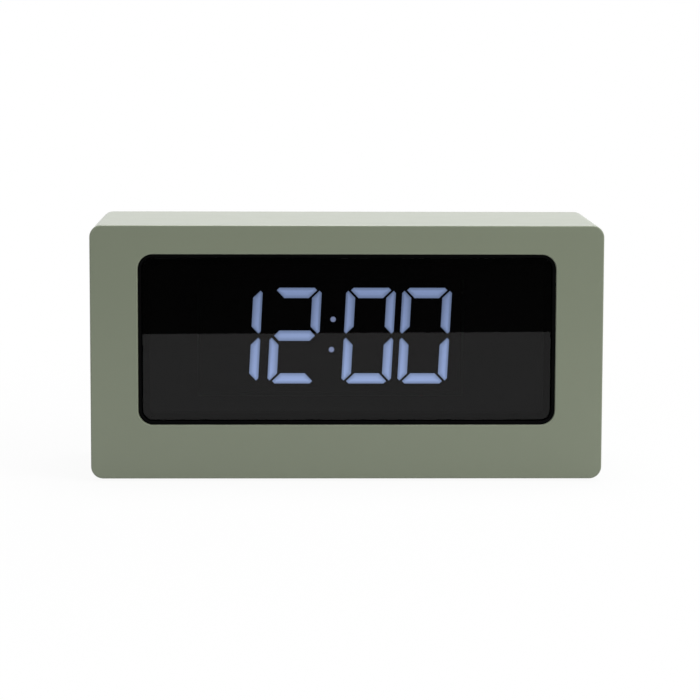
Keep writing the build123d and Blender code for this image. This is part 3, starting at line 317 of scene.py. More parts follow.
class Finish:
    """A node tree under construction, of a material or of the world."""

    def __init__(self, owner):
        owner.use_nodes = True
        self.owner = owner
        self.tree = owner.node_tree
        self.tree.nodes.clear()

    def node(self, kind, settings=None, sockets=None, output=0):
        """Add a node: its settings are set first, then the values or links of its sockets."""
        made = self.tree.nodes.new(kind)
        for name, value in (settings or {}).items():
            setattr(made, name, value)
        for name, value in (sockets or {}).items():
            socket = made.inputs[name]
            if isinstance(value, Wire):
                self.tree.links.new(value.socket, socket)
            elif socket.type == "RGBA":
                socket.default_value = (*value, 1)
            else:
                socket.default_value = value
        return Wire(self, made.outputs[output]) if made.outputs else None

    def place(self, stretch=(1, 1, 1)):
        """Object coordinates, stretched along the axes."""
        here = self.node("ShaderNodeTexCoord", output="Object")
        return self.node("ShaderNodeMapping", None, {"Vector": here, "Scale": stretch})

    def noise(self, size, detail=2.0, stretch=(1, 1, 1)):
        """Soft noise from 0 to 1 whose blots are about this wide."""
        sockets = {"Vector": self.place(stretch), "Scale": 1 / size, "Detail": detail}
        return self.node("ShaderNodeTexNoise", None, sockets, "Fac")

    def attribute(self, name):
        """A number that the mesh holds at each corner."""
        return self.node("ShaderNodeAttribute", {"attribute_name": name}, None, "Fac")

    def seen(self):
        """1 for rays from the camera, in reflections and through the lens, and 0 for other light."""
        path = self.node("ShaderNodeLightPath", None, None, "Is Camera Ray")
        return path.most(path.beside("Is Glossy Ray")).most(path.beside("Is Transmission Ray"))

    def blend(self, share, first, second):
        """A colour between two others."""
        return self.node("ShaderNodeMix", {"data_type": "RGBA"}, {0: share, 6: first, 7: second}, 2)

    def bump(self, height, depth):
        """A normal from a height of 0 to 1, with this depth in metres."""
        sockets = {"Height": height, "Distance": depth, "Strength": 1.0}
        return self.node("ShaderNodeBump", None, sockets)

    def surface(self, sockets):
        """End the material in a Principled shader and return the material."""
        shader = self.node("ShaderNodeBsdfPrincipled", None, sockets)
        self.node("ShaderNodeOutputMaterial", None, {"Surface": shader})
        return self.owner


def new_finish(name):
    """A finish for a new material."""
    return Finish(bpy.data.materials.new(name))


def toned(colour, factor):
    """A colour made lighter or darker."""
    return tuple(factor * channel for channel in colour)


def moulded_plastic(name, colour, roughness, grain_size, grain_depth, mottle=0.03, shine=0.5, lacquer=0.0):
    """Moulded plastic: a fine grain from the mould, a faint mottle and slightly uneven gloss."""
    finish = new_finish(name)
    cloud = finish.noise(28 * MM, 3)
    grain = finish.noise(grain_size, 3)
    gloss = finish.noise(9 * MM)
    base = finish.blend(cloud, toned(colour, 1 - mottle), toned(colour, 1 + mottle))
    return finish.surface({
        "Base Color": finish.blend(grain * 0.5, base, toned(colour, 1 + 2 * mottle)),
        "Roughness": roughness - 0.05 + 0.1 * gloss,
        "Normal": finish.bump(grain, grain_depth),
        "Specular IOR Level": shine,
        "Coat Weight": lacquer,
        "Coat Roughness": roughness,
    })


def matt_black(name, settings):
    """Black plastic behind the lens, which throws back next to no light."""
    return moulded_plastic(name, settings.black, 0.9, grain_size=0.6 * MM, grain_depth=0.001 * MM, shine=0.02)


def small_moulding(name, colour, roughness):
    """Smooth plastic of a small moulded part."""
    return moulded_plastic(name, colour, roughness, grain_size=0.3 * MM, grain_depth=0.01 * MM)


def wire_insulation(name, colour):
    """Drawn insulation of a wire."""
    return moulded_plastic(name, colour, 0.4, grain_size=0.8 * MM, grain_depth=0.01 * MM, mottle=0.08)


def smoked_acrylic(settings):
    """Clear smoked acrylic with faint wiping marks in its gloss."""
    finish = new_finish("smoked_acrylic")
    wiping = finish.noise(14 * MM, 2, (0.35, 1, 1.3))
    return finish.surface({
        "Base Color": settings.lens_tint,
        "Roughness": 0.01 * wiping,
        "IOR": settings.lens_index,
        "Transmission Weight": 1.0,
    })


def lit_guide(settings):
    """A milky light guide that glows along its middle: the mesh's own attributes say how much, and where."""
    finish = new_finish("lit_light_guide")
    glow = finish.attribute("glow")
    share = finish.attribute("share")
    cloud = finish.noise(1.6 * MM, 2)
    light = finish.blend(glow, settings.glow_edge, settings.glow_centre)
    shaded = finish.blend(share - 0.05 + 0.05 * cloud, (0, 0, 0), light)
    return finish.surface({
        "Base Color": MILKY_GUIDE,
        "Roughness": 0.55 + 0.1 * cloud,
        "Specular IOR Level": 0.1,
        "Emission Color": shaded,
        "Emission Strength": settings.strength,
    })


def colon_guide(settings):
    """The smaller, bluer light guides of the colon."""
    finish = new_finish("colon_light_guide")
    glow = finish.attribute("glow")
    share = finish.attribute("share")
    light = finish.blend(glow, toned(settings.colon_glow, 0.75), settings.colon_glow)
    return finish.surface({
        "Base Color": MILKY_GUIDE,
        "Roughness": 0.55 + 0.1 * finish.noise(1.2 * MM),
        "Specular IOR Level": 0.1,
        "Emission Color": finish.blend(share, (0, 0, 0), light),
        "Emission Strength": settings.strength,
    })


def plated_metal(name, colour, roughness, stretch=(1, 1, 1)):
    """Plated metal with drawn streaks in its gloss and faint stains."""
    finish = new_finish(name)
    streaks = finish.noise(0.5 * MM, 3, stretch)
    stains = finish.noise(5 * MM, 2)
    return finish.surface({
        "Base Color": finish.blend(stains, toned(colour, 0.86), toned(colour, 1.08)),
        "Metallic": 1.0,
        "Roughness": roughness - 0.08 + 0.16 * streaks,
        "Normal": finish.bump(streaks, 0.004 * MM),
    })


def circuit_board(settings):
    """Solder mask over a grid of traces, with tinned pads."""
    finish = new_finish("circuit_board")
    here = finish.node("ShaderNodeSeparateXYZ", None, {0: finish.place()}, "X")
    flat = finish.node("ShaderNodeCombineXYZ", None, {"X": here, "Y": here.beside("Z")})
    bricks = {
        "Vector": flat,
        "Scale": 1.0,
        "Mortar Size": 0.22 * MM,
        "Brick Width": 6 * MM,
        "Row Height": 1.7 * MM,
    }
    traces = finish.node("ShaderNodeTexBrick", None, bricks, "Fac")
    cells = finish.node("ShaderNodeTexVoronoi", None, {"Vector": flat, "Scale": 1 / (5 * MM)}, "Distance")
    pads = cells < 0.12
    mask = finish.blend(traces, settings.board, settings.copper)
    return finish.surface({
        "Base Color": finish.blend(pads, mask, settings.steel),
        "Metallic": pads,
        "Roughness": 0.34 + 0.12 * finish.noise(1 * MM),
        "Normal": finish.bump(traces.most(pads), 0.03 * MM),
    })


def foam_tape():
    """Black foam tape with a woven liner."""
    finish = new_finish("lens_tape")
    fibres = finish.noise(0.4 * MM, 3, (0.2, 1, 1))
    return finish.surface({
        "Base Color": finish.blend(fibres, (0.004, 0.004, 0.004), (0.014, 0.014, 0.014)),
        "Roughness": 0.7 + 0.2 * fibres,
        "Normal": finish.bump(fibres, 0.02 * MM),
    })


def diode_package():
    """White diode package with a yellow window of phosphor."""
    finish = new_finish("led")
    spots = finish.noise(0.5 * MM, 1)
    return finish.surface({
        "Base Color": finish.blend(spots, (0.72, 0.62, 0.2), (0.85, 0.84, 0.78)),
        "Roughness": 0.3 + 0.2 * spots,
    })


def ribbon_plastic():
    """Flat cable: one rib for each wire, with a red one at its side, and painted shade darkening the grooves
    between the ribs.
    """
    finish = new_finish("ribbon_plastic")
    pitch = 1.27 * MM
    red_side = -6.3 * MM
    across = finish.node("ShaderNodeSeparateXYZ", None, {0: finish.place()}, "X")
    ribs = 0.5 + 0.5 * (across * (2 * math.pi / pitch)).sine()
    marked = across < red_side
    # Painted shade: the grooves between the ribs are coloured darker than the rib tops
    groove_shaded_grey = finish.blend(ribs, (0.2, 0.2, 0.2), (0.34, 0.34, 0.33))
    return finish.surface({
        "Base Color": finish.blend(marked, groove_shaded_grey, (0.45, 0.03, 0.02)),
        "Roughness": 0.5 - 0.1 * ribs,
        "Normal": finish.bump(ribs, 0.2 * MM),
    })


def cell_sleeve(settings):
    """Shrunk sleeve with a pale band and signs for its two ends, which are bare steel."""
    finish = new_finish("cell")
    low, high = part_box("battery_cells")
    pitch = (high.z - low.z - (high.y - low.y)) / 2
    here = finish.node("ShaderNodeSeparateXYZ", None, {0: finish.place()}, "X")
    rise = here.beside("Z") - (low.z + high.z) / 2
    turned = abs(rise) < pitch / 2
    along = here * (1 - 2 * turned)
    band = along > high.x - CELL_BAND
    across = abs(rise.wrapped(pitch))
    from_plus = abs(along - (high.x - CELL_BAND - 2 * CELL_SIGN))
    from_minus = abs(along - (high.x - CELL_LENGTH + 2 * CELL_SIGN))
    level = (from_plus < CELL_SIGN) * (across < CELL_STROKE)
    upright = (from_plus < CELL_STROKE) * (across < CELL_SIGN)
    minus = (from_minus < CELL_STROKE) * (across < CELL_SIGN)
    printed = band.most(level).most(upright).most(minus)
    normal = finish.node("ShaderNodeNewGeometry", None, None, "Normal")
    facing = abs(finish.node("ShaderNodeSeparateXYZ", None, {0: normal}, "X"))
    bare = facing > CELL_END
    scuffs = finish.noise(2.5 * MM, 4)
    sleeve = finish.blend(scuffs, toned(settings.sleeve, 0.8), toned(settings.sleeve, 1.25))
    banded = finish.blend(printed, sleeve, settings.band)
    return finish.surface({
        "Base Color": finish.blend(bare, banded, settings.steel),
        "Metallic": bare.most(band * 0.6),
        "Roughness": 0.24 + 0.16 * scuffs,
        "Normal": finish.bump(scuffs, 0.01 * MM),
    })


def moulded_rubber(settings):
    """Matt rubber with a coarse skin."""
    finish = new_finish("foot_rubber")
    skin = finish.noise(0.5 * MM, 4)
    dust = finish.noise(3 * MM, 3)
    return finish.surface({
        "Base Color": finish.blend(dust, settings.rubber, toned(settings.rubber, 2)),
        "Roughness": 0.75 + 0.15 * skin,
        "Normal": finish.bump(skin, 0.04 * MM),
    })


def printed_ink(settings):
    """Pale pad print, a little thin in places."""
    finish = new_finish("sign_ink")
    thin = finish.noise(0.35 * MM, 3)
    return finish.surface({
        "Base Color": finish.blend(thin, toned(settings.ink, 0.88), toned(settings.ink, 1.06)),
        "Roughness": 0.5 + 0.12 * thin,
        "Normal": finish.bump(thin, 0.008 * MM),
    })


def dress(material, *nodes):
    """Give a finish to solids that keep their shape."""
    for name in nodes:
        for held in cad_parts[name].material_slots:
            held.material = material


def only(piece):
    """Select this object alone."""
    bpy.ops.object.select_all(action="DESELECT")
    piece.hide_set(False)
    piece.select_set(True)
    bpy.context.view_layer.objects.active = piece


def edit(piece):
    """Open a mesh in edit mode with all of it selected."""
    only(piece)
    bpy.ops.object.mode_set(mode="EDIT")
    bpy.ops.mesh.select_mode(type="FACE")
    bpy.ops.mesh.select_all(action="SELECT")


def leave_edit():
    """Go back to object mode."""
    bpy.ops.object.mode_set(mode="OBJECT")


def select_faces(piece, wanted):
    """In edit mode, select the faces that a test of their middle and normal picks."""
    leave_edit()
    for face in piece.data.polygons:
        face.select = wanted(face.center, face.normal)
    for item in [*piece.data.vertices, *piece.data.edges]:
        item.select = False
    bpy.ops.object.mode_set(mode="EDIT")


def welded_copy(node, name):
    """A copy of a solid's skin, welded and with its flat sides made whole."""
    piece = bpy.data.objects.new(name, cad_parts[node].data.copy())
    piece.data.name = name
    bpy.context.scene.collection.objects.link(piece)
    edit(piece)
    bpy.ops.mesh.customdata_custom_splitnormals_clear()
    bpy.ops.mesh.remove_doubles(threshold=WELD_GAP)
    bpy.ops.mesh.dissolve_limited(angle_limit=FLAT_ANGLE)
    leave_edit()
    return piece


def apply_all(piece):
    """Apply a piece's modifiers in order."""
    only(piece)
    for modifier in list(piece.modifiers):
        bpy.ops.object.modifier_apply(modifier=modifier.name)


def finish_piece(piece, name, material, body):
    """Name a new piece, set its place in its mesh, give it its finish and let it ride."""
    only(piece)
    bpy.ops.object.transform_apply(location=True, rotation=True, scale=True)
    piece.name = name
    piece.data.name = name
    piece.data.materials.clear()
    piece.data.materials.append(material)
    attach(piece, body)
    return piece


def glowing_copy(node, name, rings):
    """A light guide whose front is inset in rings, with the glow of each ring as an attribute."""
    piece = welded_copy(node, name)
    edit(piece)
    select_faces(piece, lambda middle, normal: normal.y < FACING_FRONT)
    inner = []
    for thickness, glow in rings:
        bpy.ops.mesh.inset(thickness=thickness, use_even_offset=True, use_individual=True)
        leave_edit()
        chosen = {corner for face in piece.data.polygons if face.select for corner in face.vertices}
        inner.append((chosen, glow))
        bpy.ops.object.mode_set(mode="EDIT")
    leave_edit()
    layer = piece.data.attributes.new("glow", "FLOAT", "POINT")
    for chosen, glow in inner:
        for corner in chosen:
            layer.data[corner].value = glow
    return piece


def set_shares(piece, settings):
    """Dim a light guide towards the top of the digits, its uprights more than its bars."""
    layer = piece.data.attributes.new("share", "FLOAT", "POINT")
    for part in loose_parts(piece.data):
        across = [piece.data.vertices[corner].co.x for corner in part]
        heights = [piece.data.vertices[corner].co.z for corner in part]
        upright = max(heights) - min(heights) > UPRIGHT_RATIO * (max(across) - min(across))
        for corner, height in zip(part, heights):
            rise = (height - DIGITS_LOW.z) / (DIGITS_HIGH.z - DIGITS_LOW.z)
            foot, top = (settings.upright_foot, settings.upright_top) if upright else (1, settings.bar_top)
            layer.data[corner].value = foot + (top - foot) * rise


def loose_parts(mesh):
    """The corners of each separate part of a mesh."""
    parent = list(range(len(mesh.vertices)))

    def root(corner):
        while parent[corner] != corner:
            parent[corner] = parent[parent[corner]]
            corner = parent[corner]
        return corner

    for edge in mesh.edges:
        first, second = edge.vertices
        parent[root(first)] = root(second)
    parts = {}
    for corner in range(len(parent)):
        parts.setdefault(root(corner), []).append(corner)
    return list(parts.values())


class CLOCK_OT_case(Operator):
    """Give the case, the rear cover and the battery door their moulded plastic."""

    bl_idname = "clock.case"
    bl_label = "Case"

    def execute(self, context):
        settings = context.scene.clock_case
        plastic = moulded_plastic(
            "case_plastic",
            settings.colour,
            settings.roughness,
            settings.grain_size,
            settings.grain_depth,
            settings.mottle,
            lacquer=settings.lacquer,
        )
        dress(plastic, "case_shell", "rear_cover", "battery_door")
        return {"FINISHED"}


class CLOCK_OT_window(Operator):
    """Finish the lens, the black frame that lines the window, the tape and the light mask."""

    bl_idname = "clock.window"
    bl_label = "Window"

    def execute(self, context):
        settings = context.scene.clock_display
        dress(smoked_acrylic(settings), "lens")
        liner = moulded_plastic(
            "frame_plastic", settings.black, 0.7, grain_size=0.3 * MM, grain_depth=0.004 * MM, shine=0.02
        )
        dress(liner, "lens_frame")
        dress(foam_tape(), "lens_tape")
        dress(matt_black("mask_plastic", settings), "light_mask")
        return {"FINISHED"}


class CLOCK_OT_display(Operator):
    """Make the lit digits and the colon, and finish the dark segments, the housing and the diodes."""

    bl_idname = "clock.display"
    bl_label = "Display"

    def execute(self, context):
        settings = context.scene.clock_display
        lit = lit_guide(settings)
        rings = tuple((share * settings.glow_inset, glow) for share, glow in SEGMENT_RINGS)
        digits = glowing_copy("lit_segments", "lit_digits", rings)
        set_shares(digits, settings)
        finish_piece(digits, "lit_digits", lit, "case")
        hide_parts("lit_segments")
        dots = glowing_copy("colon_dots", "lit_colon", DOT_RINGS)
        set_shares(dots, settings)
        finish_piece(dots, "lit_colon", colon_guide(settings), "case")
        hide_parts("colon_dots")
        dark = moulded_plastic(
            "dark_light_guide", DARK_GUIDE, 0.7, grain_size=0.6 * MM, grain_depth=0.001 * MM, shine=0.03
        )
        dress(dark, "unlit_segments")
        dress(matt_black("housing_plastic", settings), "display_housing")
        dress(diode_package(), "led_chips")
        return {"FINISHED"}


class CLOCK_OT_controls(Operator):
    """Finish the push buttons, the alarm slider and the power inlet."""

    bl_idname = "clock.controls"
    bl_label = "Controls"

    def execute(self, context):
        settings = context.scene.clock_controls
        plastic = moulded_plastic(
            "control_plastic", settings.colour, 0.5, grain_size=0.3 * MM, grain_depth=0.02 * MM, mottle=0.06
        )
        dress(plastic, "alarm_slider", *[f"{name}_button" for name in BUTTON_NAMES])
        dress(plated_metal("inlet_metal", INLET_STEEL, 0.3, (1, 0.1, 1)), "inlet_shell")
        dress(small_moulding("tongue_plastic", INLET_TONGUE, 0.4), "inlet_tongue")
        return {"FINISHED"}


def flat_disc(x, z, radius, turn=FACING_REAR, corners=32):
    """Add a flat round shape that faces the rear: a new object, or in edit mode more of the open mesh."""
    bpy.ops.mesh.primitive_circle_add(
        vertices=corners, radius=radius, fill_type="NGON", location=(x, SIGN_Y, z), rotation=turn
    )


def flat_bar(x, z, width, height):
    """Add a flat bar that faces the rear: a new object, or in edit mode more of the open mesh."""
    bpy.ops.mesh.primitive_plane_add(size=1, location=(x, SIGN_Y, z), rotation=FACING_REAR)
    bpy.ops.transform.resize(value=(width, 1, height))


def select_corners(piece, wanted):
    """In edit mode, select the corners that a test of their world place picks."""
    bpy.ops.mesh.select_mode(type="VERT")
    bpy.ops.mesh.select_all(action="DESELECT")
    leave_edit()
    for corner in piece.data.vertices:
        corner.select = wanted(piece.matrix_world @ corner.co)
    bpy.ops.object.mode_set(mode="EDIT")


def thicken(piece, height):
    """Give a flat shape its thickness, away from the surface that it lies on."""
    leave_edit()
    only(piece)
    bpy.ops.object.modifier_add(type="SOLIDIFY")
    piece.modifiers[-1].thickness = height
    piece.modifiers[-1].offset = 1
    apply_all(piece)


class CLOCK_OT_signs(Operator):
    """Print the signs of the controls on the rear cover and raise the grip of the battery door."""

    bl_idname = "clock.signs"
    bl_label = "Signs"

    def execute(self, context):
        settings = context.scene.clock_controls
        ink = printed_ink(settings)
        signs = {
            "mode": self.clock_face,
            "down": self.down_triangle,
            "up": self.up_triangle,
            "alarm": self.bell,
            "snooze": self.crescent,
        }
        for name, draw in signs.items():
            low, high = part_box(f"{name}_button")
            middle = (low + high) / 2
            piece = draw(middle.x, middle.z + settings.sign_rise, settings)
            thicken(piece, SIGN_SINK + settings.sign_height)
            finish_piece(piece, f"{name}_sign", ink, "case")
        self.words(settings, ink)
        self.grip(settings)
        return {"FINISHED"}

    def clock_face(self, x, z, settings):
        """A ring with two hands."""
        radius = settings.sign_size / 2
        flat_disc(x, z, radius)
        piece = bpy.context.object
        edit(piece)
        bpy.ops.mesh.inset(thickness=settings.stroke)
        bpy.ops.mesh.delete(type="FACE")
        reach = radius - HAND_STOP * settings.stroke
        half = settings.stroke / 2
        flat_bar(x, z + (reach - half) / 2, settings.stroke, reach + half)
        flat_bar(x - (half + reach) / 2, z, reach - half, settings.stroke)
        return piece

    def up_triangle(self, x, z, settings):
        """A triangle that points up."""
        return self.triangle(x, z, settings, FACING_REAR)

    def down_triangle(self, x, z, settings):
        """A triangle that points down."""
        return self.triangle(x, z, settings, UPSIDE_DOWN)

    def triangle(self, x, z, settings, turn):
        """A triangle with rounded corners."""
        flat_disc(x, z, settings.sign_size / 2, turn, corners=3)
        piece = bpy.context.object
        edit(piece)
        bpy.ops.mesh.bevel(offset=0.5 * settings.stroke, segments=3, affect="VERTICES")
        return piece

    def bell(self, x, z, settings):
        """A dome that flares to its foot, on a bar with the clapper under it."""
        half = settings.sign_size / 2
        dome_z = z + BELL_RISE * half
        flat_disc(x, dome_z, BELL_RADIUS * half)
        piece = bpy.context.object
        edit(piece)
        select_corners(piece, lambda place: place.z < dome_z - MIDDLE_GAP)
        bpy.ops.transform.resize(value=(BELL_FLARE, 1, 0))
        bpy.ops.transform.translate(value=(0, 0, -BELL_DROP * half))
        bar_z = z - BELL_BAR * half
        flat_bar(x, bar_z, 2 * half, BAR_WIDTH * settings.stroke)
        clapper_z = bar_z - CLAPPER_DROP * settings.stroke
        flat_disc(x, clapper_z, CLAPPER_RADIUS * settings.stroke, corners=16)
        return piece

    def crescent(self, x, z, settings):
        """A moon whose right side is turned inwards."""
        flat_disc(x, z, settings.sign_size / 2)
        piece = bpy.context.object
        edit(piece)
        select_corners(piece, lambda place: place.x < x - MIDDLE_GAP)
        middle = (x, SIGN_Y, z)
        bpy.ops.transform.resize(value=(-CRESCENT_DEPTH, 1, 1), center_override=middle)
        bpy.ops.mesh.select_all(action="SELECT")
        bpy.ops.transform.rotate(value=CRESCENT_TILT, orient_axis="Y", center_override=middle)
        return piece

    def words(self, settings, ink):
        """The slider's two ends and the voltage of the inlet."""
        slider_low, slider_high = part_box("slide_switch_body")
        slider_x = (slider_low.x + slider_high.x) / 2
        inlet_low, inlet_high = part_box("inlet_shell")
        inlet_x = (inlet_low.x + inlet_high.x) / 2
        button_low, button_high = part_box("up_button")
        row_z = (button_low.z + button_high.z) / 2 + settings.sign_rise
        places = {
            "on": ("ON", slider_x + settings.word_spread),
            "off": ("OFF", slider_x - settings.word_spread),
            "inlet": ("5V", inlet_x),
        }
        for name, (word, x) in places.items():
            bpy.ops.object.text_add(location=(x, SIGN_Y, row_z), rotation=FACING_REAR)
            piece = bpy.context.object
            piece.data.body = word
            piece.data.size = settings.word_size
            piece.data.align_x = "CENTER"
            piece.data.align_y = "CENTER"
            bpy.ops.object.convert(target="MESH")
            piece = bpy.context.object
            edit(piece)
            bpy.ops.mesh.remove_doubles(threshold=WELD_GAP)
            thicken(piece, SIGN_SINK + settings.sign_height)
            finish_piece(piece, f"{name}_sign", ink, "case")

    def grip(self, settings):
        """Bars with rounded ends under the finger notch of the battery door."""
        middle_x = (DOOR_LOW.x + DOOR_HIGH.x) / 2
        first_z = DOOR_HIGH.z - settings.grip_drop
        flat_bar(middle_x, first_z, settings.grip_length, settings.grip_width)
        piece = bpy.context.object
        bpy.ops.object.transform_apply(location=True, rotation=True, scale=True)
        edit(piece)
        bpy.ops.mesh.bevel(offset=GRIP_END * settings.grip_width, segments=4, affect="VERTICES")
        thicken(piece, SIGN_SINK + settings.grip_height)
        bpy.ops.object.modifier_add(type="BEVEL")
        piece.modifiers[-1].width = GRIP_EDGE * settings.grip_height
        piece.modifiers[-1].segments = 3
        piece.modifiers[-1].limit_method = "ANGLE"
        bpy.ops.object.modifier_add(type="ARRAY")
        piece.modifiers[-1].count = GRIP_BARS
        piece.modifiers[-1].use_relative_offset = False
        piece.modifiers[-1].use_constant_offset = True
        piece.modifiers[-1].constant_offset_displace = (0, 0, -settings.grip_pitch)
        apply_all(piece)
        bpy.ops.object.shade_smooth_by_angle(angle=GRIP_SMOOTH)
        plastic = bpy.data.materials["case_plastic"]
        finish_piece(piece, "door_grip", plastic, "door_body")


class CLOCK_OT_inside(Operator):
    """Finish the boards, their components, the cables and the wires."""

    bl_idname = "clock.inside"
    bl_label = "Boards"

    def execute(self, context):
        settings = context.scene.clock_inside
        dress(circuit_board(settings), "display_board", "main_board")
        epoxy = moulded_plastic(
            "component_plastic", EPOXY, 0.5, grain_size=0.15 * MM, grain_depth=0.02 * MM, mottle=0.1
        )
        dress(epoxy, "controller_chip", "display_driver_chip", "switch_bodies", "slide_switch_body", "buzzer")
        stem = small_moulding("stem_plastic", SWITCH_STEM, 0.45)
        dress(stem, *[f"{name}_switch_plunger" for name in BUTTON_NAMES])
        nylon = small_moulding("connector_plastic", settings.nylon, 0.45)
        dress(nylon, "display_connector", "main_connector")
        dress(ribbon_plastic(), "ribbon_cable")
        dress(wire_insulation("red_wire", RED_INSULATION), "positive_lead")
        dress(wire_insulation("black_wire", BLACK_INSULATION), "negative_lead")
        can = plated_metal("can_metal", CAN_METAL, 0.26, (1, 0.15, 1))
        dress(can, "clock_crystal", "power_capacitor")
        return {"FINISHED"}


class CLOCK_OT_batteries(Operator):
    """Finish the cells, their contacts and the springs."""

    bl_idname = "clock.batteries"
    bl_label = "Batteries"

    def execute(self, context):
        settings = context.scene.clock_inside
        dress(cell_sleeve(settings), "battery_cells")
        steel = plated_metal("contact_steel", settings.steel, 0.32, (1, 1, 0.15))
        dress(steel, "battery_contacts", "battery_springs")
        return {"FINISHED"}


class CLOCK_OT_fasteners(Operator):
    """Finish the screws and the rubber feet."""

    bl_idname = "clock.fasteners"
    bl_label = "Screws and Feet"

    def execute(self, context):
        settings = context.scene.clock_inside
        steel = plated_metal("screw_steel", toned(settings.steel, 0.8), 0.36)
        dress(steel, "cover_screws", "display_board_screws", "main_board_screws")
        dress(moulded_rubber(settings), "rubber_feet")
        return {"FINISHED"}


def soft_light(name, place, power, size):
    """A square soft light that faces the middle of the clock."""
    bpy.ops.object.light_add(type="AREA", location=place)
    lamp = bpy.context.object
    lamp.name = name
    lamp.data.energy = power
    lamp.data.size = size
    target = (CAD_BOX[0] + CAD_BOX[1]) / 2
    lamp.rotation_euler = (target - Vector(place)).to_track_quat("-Z", "Y").to_euler()
    return lamp


def stage_plane(name, low_y, high_y, width, turn, material):
    """A flat stage surface at the height of the table, turned about the clock."""
    bpy.ops.mesh.primitive_plane_add(size=1, location=(0, (low_y + high_y) / 2, 0))
    plane = bpy.context.object
    edit(plane)
    bpy.ops.transform.resize(value=(width, high_y - low_y, 1))
    leave_edit()
    bpy.ops.object.transform_apply(location=True, rotation=True, scale=True)
    plane.rotation_euler.z = turn
    bpy.ops.object.transform_apply(location=True, rotation=True, scale=True)
    plane.name = name
    plane.data.materials.append(material)
    return plane


def floor_paint(settings):
    """Pale floor, nearly plain white to the camera and in reflections, that keeps the clock's shadow."""
    finish = new_finish("floor_paint")
    cloud = finish.noise(0.4, 2)
    paint = finish.blend(cloud, toned(settings.floor, 0.99), settings.floor)
    matt = finish.node("ShaderNodeBsdfDiffuse", None, {"Color": paint})
    white = finish.node("ShaderNodeEmission", None, {"Color": (1, 1, 1), "Strength": 1.0})
    far = finish.node("ShaderNodeVectorMath", {"operation": "LENGTH"}, {0: finish.place()}, "Value")
    reach = {"Value": far, "From Min": settings.shadow_reach / 4, "From Max": settings.shadow_reach}
    fade = finish.node("ShaderNodeMapRange", {"interpolation_type": "SMOOTHSTEP"}, reach)
    glow = settings.floor_glow + (1 - settings.floor_glow) * fade
    mixed = finish.node("ShaderNodeMixShader", None, {0: finish.seen() * glow, 1: matt, 2: white})
    finish.node("ShaderNodeOutputMaterial", None, {"Surface": mixed})
    return finish.owner


def reflected_dark_sheet():
    """A dark sheet with a faint mottle in front of the table, seen only in reflections: it paints a dark
    reflection into the lens and the glossy surfaces.
    """
    finish = new_finish("reflected_dark_sheet")
    sheet_mottle = finish.noise(20 * MM, 2)
    return finish.surface({
        "Base Color": finish.blend(sheet_mottle, (0.05, 0.05, 0.05), (0.065, 0.065, 0.065)),
        "Roughness": 1.0,
        "Specular IOR Level": 0.0,
    })


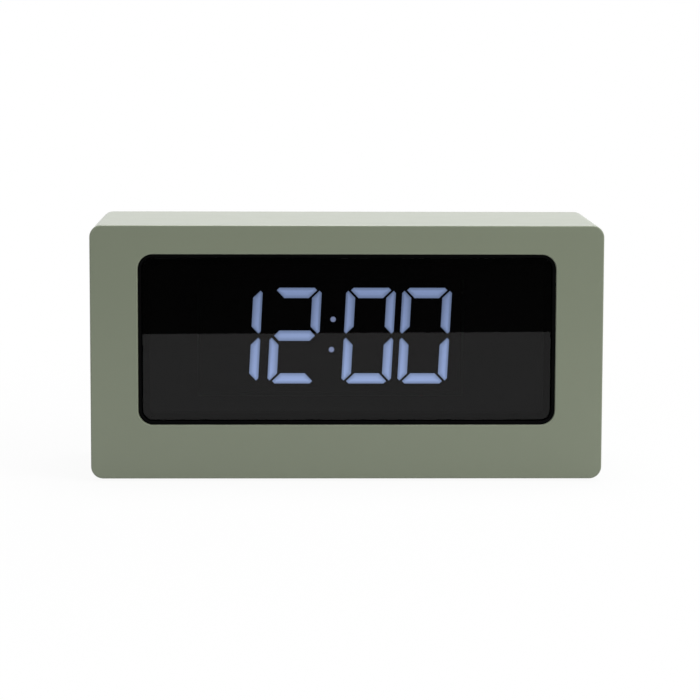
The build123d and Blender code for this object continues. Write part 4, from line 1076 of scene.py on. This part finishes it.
class CLOCK_OT_stage(Operator):
    """Lay the floor, hang the lights and set the camera where the photograph was taken."""

    bl_idname = "clock.stage"
    bl_label = "Stage"

    def execute(self, context):
        settings = context.scene.clock_stage
        bpy.ops.object.select_all(action="DESELECT")
        edge_y = -settings.table_edge
        dark_y = edge_y - settings.reflected_sheet_depth
        width = settings.floor_size
        turn = settings.table_turn
        stage_plane("floor", edge_y, width, width, turn, floor_paint(settings))
        # A dark sheet in front of the table, hidden from the camera, from diffuse light and from shadows: a
        # painted dark reflection in the lens and the glossy surfaces
        sheet = stage_plane("reflected_dark_sheet", dark_y, edge_y, width, turn, reflected_dark_sheet())
        sheet.visible_camera = False
        sheet.visible_diffuse = False
        sheet.visible_shadow = False
        key = soft_light("key_light", settings.key_place, settings.key_power, settings.light_size)
        key.visible_glossy = False
        soft_light("top_light", settings.top_place, settings.top_power, settings.light_size)
        self.light_world(context, settings)
        self.set_camera(context, settings)
        context.scene.view_settings.view_transform = "Standard"
        return {"FINISHED"}

    def light_world(self, context, settings):
        """White to the camera, in reflections and through the lens, and a plain level of light otherwise."""
        world = bpy.data.worlds.new("studio")
        context.scene.world = world
        finish = Finish(world)
        strength = settings.ambient + (1 - settings.ambient) * finish.seen()
        sky = finish.node("ShaderNodeBackground", None, {"Color": (1, 1, 1), "Strength": strength})
        finish.node("ShaderNodeOutputWorld", None, {"Surface": sky})

    def set_camera(self, context, settings):
        """Set the camera where the photograph was taken."""
        bpy.ops.object.camera_add(location=settings.camera_place, rotation=settings.camera_turn)
        camera = bpy.context.object
        camera.name = "photograph_camera"
        camera.data.lens = settings.camera_lens
        context.scene.camera = camera


class CLOCK_PT_panel(Panel):
    """Lists the clock's pieces and the settings of their finishes."""

    bl_idname = "CLOCK_PT_panel"
    bl_label = "Desk Clock"
    bl_space_type = "VIEW_3D"
    bl_region_type = "UI"
    bl_category = "Desk Clock"

    def draw(self, context):
        for operator in OPERATORS:
            self.layout.operator(operator.bl_idname)
        for name, group in SETTINGS.items():
            column = self.layout.column(align=True)
            column.label(text=group.__doc__)
            for key in group.__annotations__:
                column.prop(getattr(context.scene, name), key)


SETTINGS = {
    "clock_case": CaseSettings,
    "clock_display": DisplaySettings,
    "clock_controls": ControlSettings,
    "clock_inside": InsideSettings,
    "clock_stage": StageSettings,
}
OPERATORS = (
    CLOCK_OT_case,
    CLOCK_OT_window,
    CLOCK_OT_display,
    CLOCK_OT_controls,
    CLOCK_OT_signs,
    CLOCK_OT_inside,
    CLOCK_OT_batteries,
    CLOCK_OT_fasteners,
    CLOCK_OT_stage,
)


def register():
    """Add the settings, the operators and the panel."""
    for name, group in SETTINGS.items():
        bpy.utils.register_class(group)
        setattr(bpy.types.Scene, name, PointerProperty(type=group))
    for made in (*OPERATORS, CLOCK_PT_panel):
        bpy.utils.register_class(made)


def unregister():
    """Take away the panel, the operators and the settings."""
    for made in (CLOCK_PT_panel, *reversed(OPERATORS)):
        bpy.utils.unregister_class(made)
    for name, group in reversed(SETTINGS.items()):
        delattr(bpy.types.Scene, name)
        bpy.utils.unregister_class(group)


def main():
    """Dress the clock and set its stage."""
    register()
    bpy.ops.clock.case()
    bpy.ops.clock.window()
    bpy.ops.clock.display()
    bpy.ops.clock.controls()
    bpy.ops.clock.signs()
    bpy.ops.clock.inside()
    bpy.ops.clock.batteries()
    bpy.ops.clock.fasteners()
    bpy.ops.clock.stage()


if __name__ == "__main__":
    main()
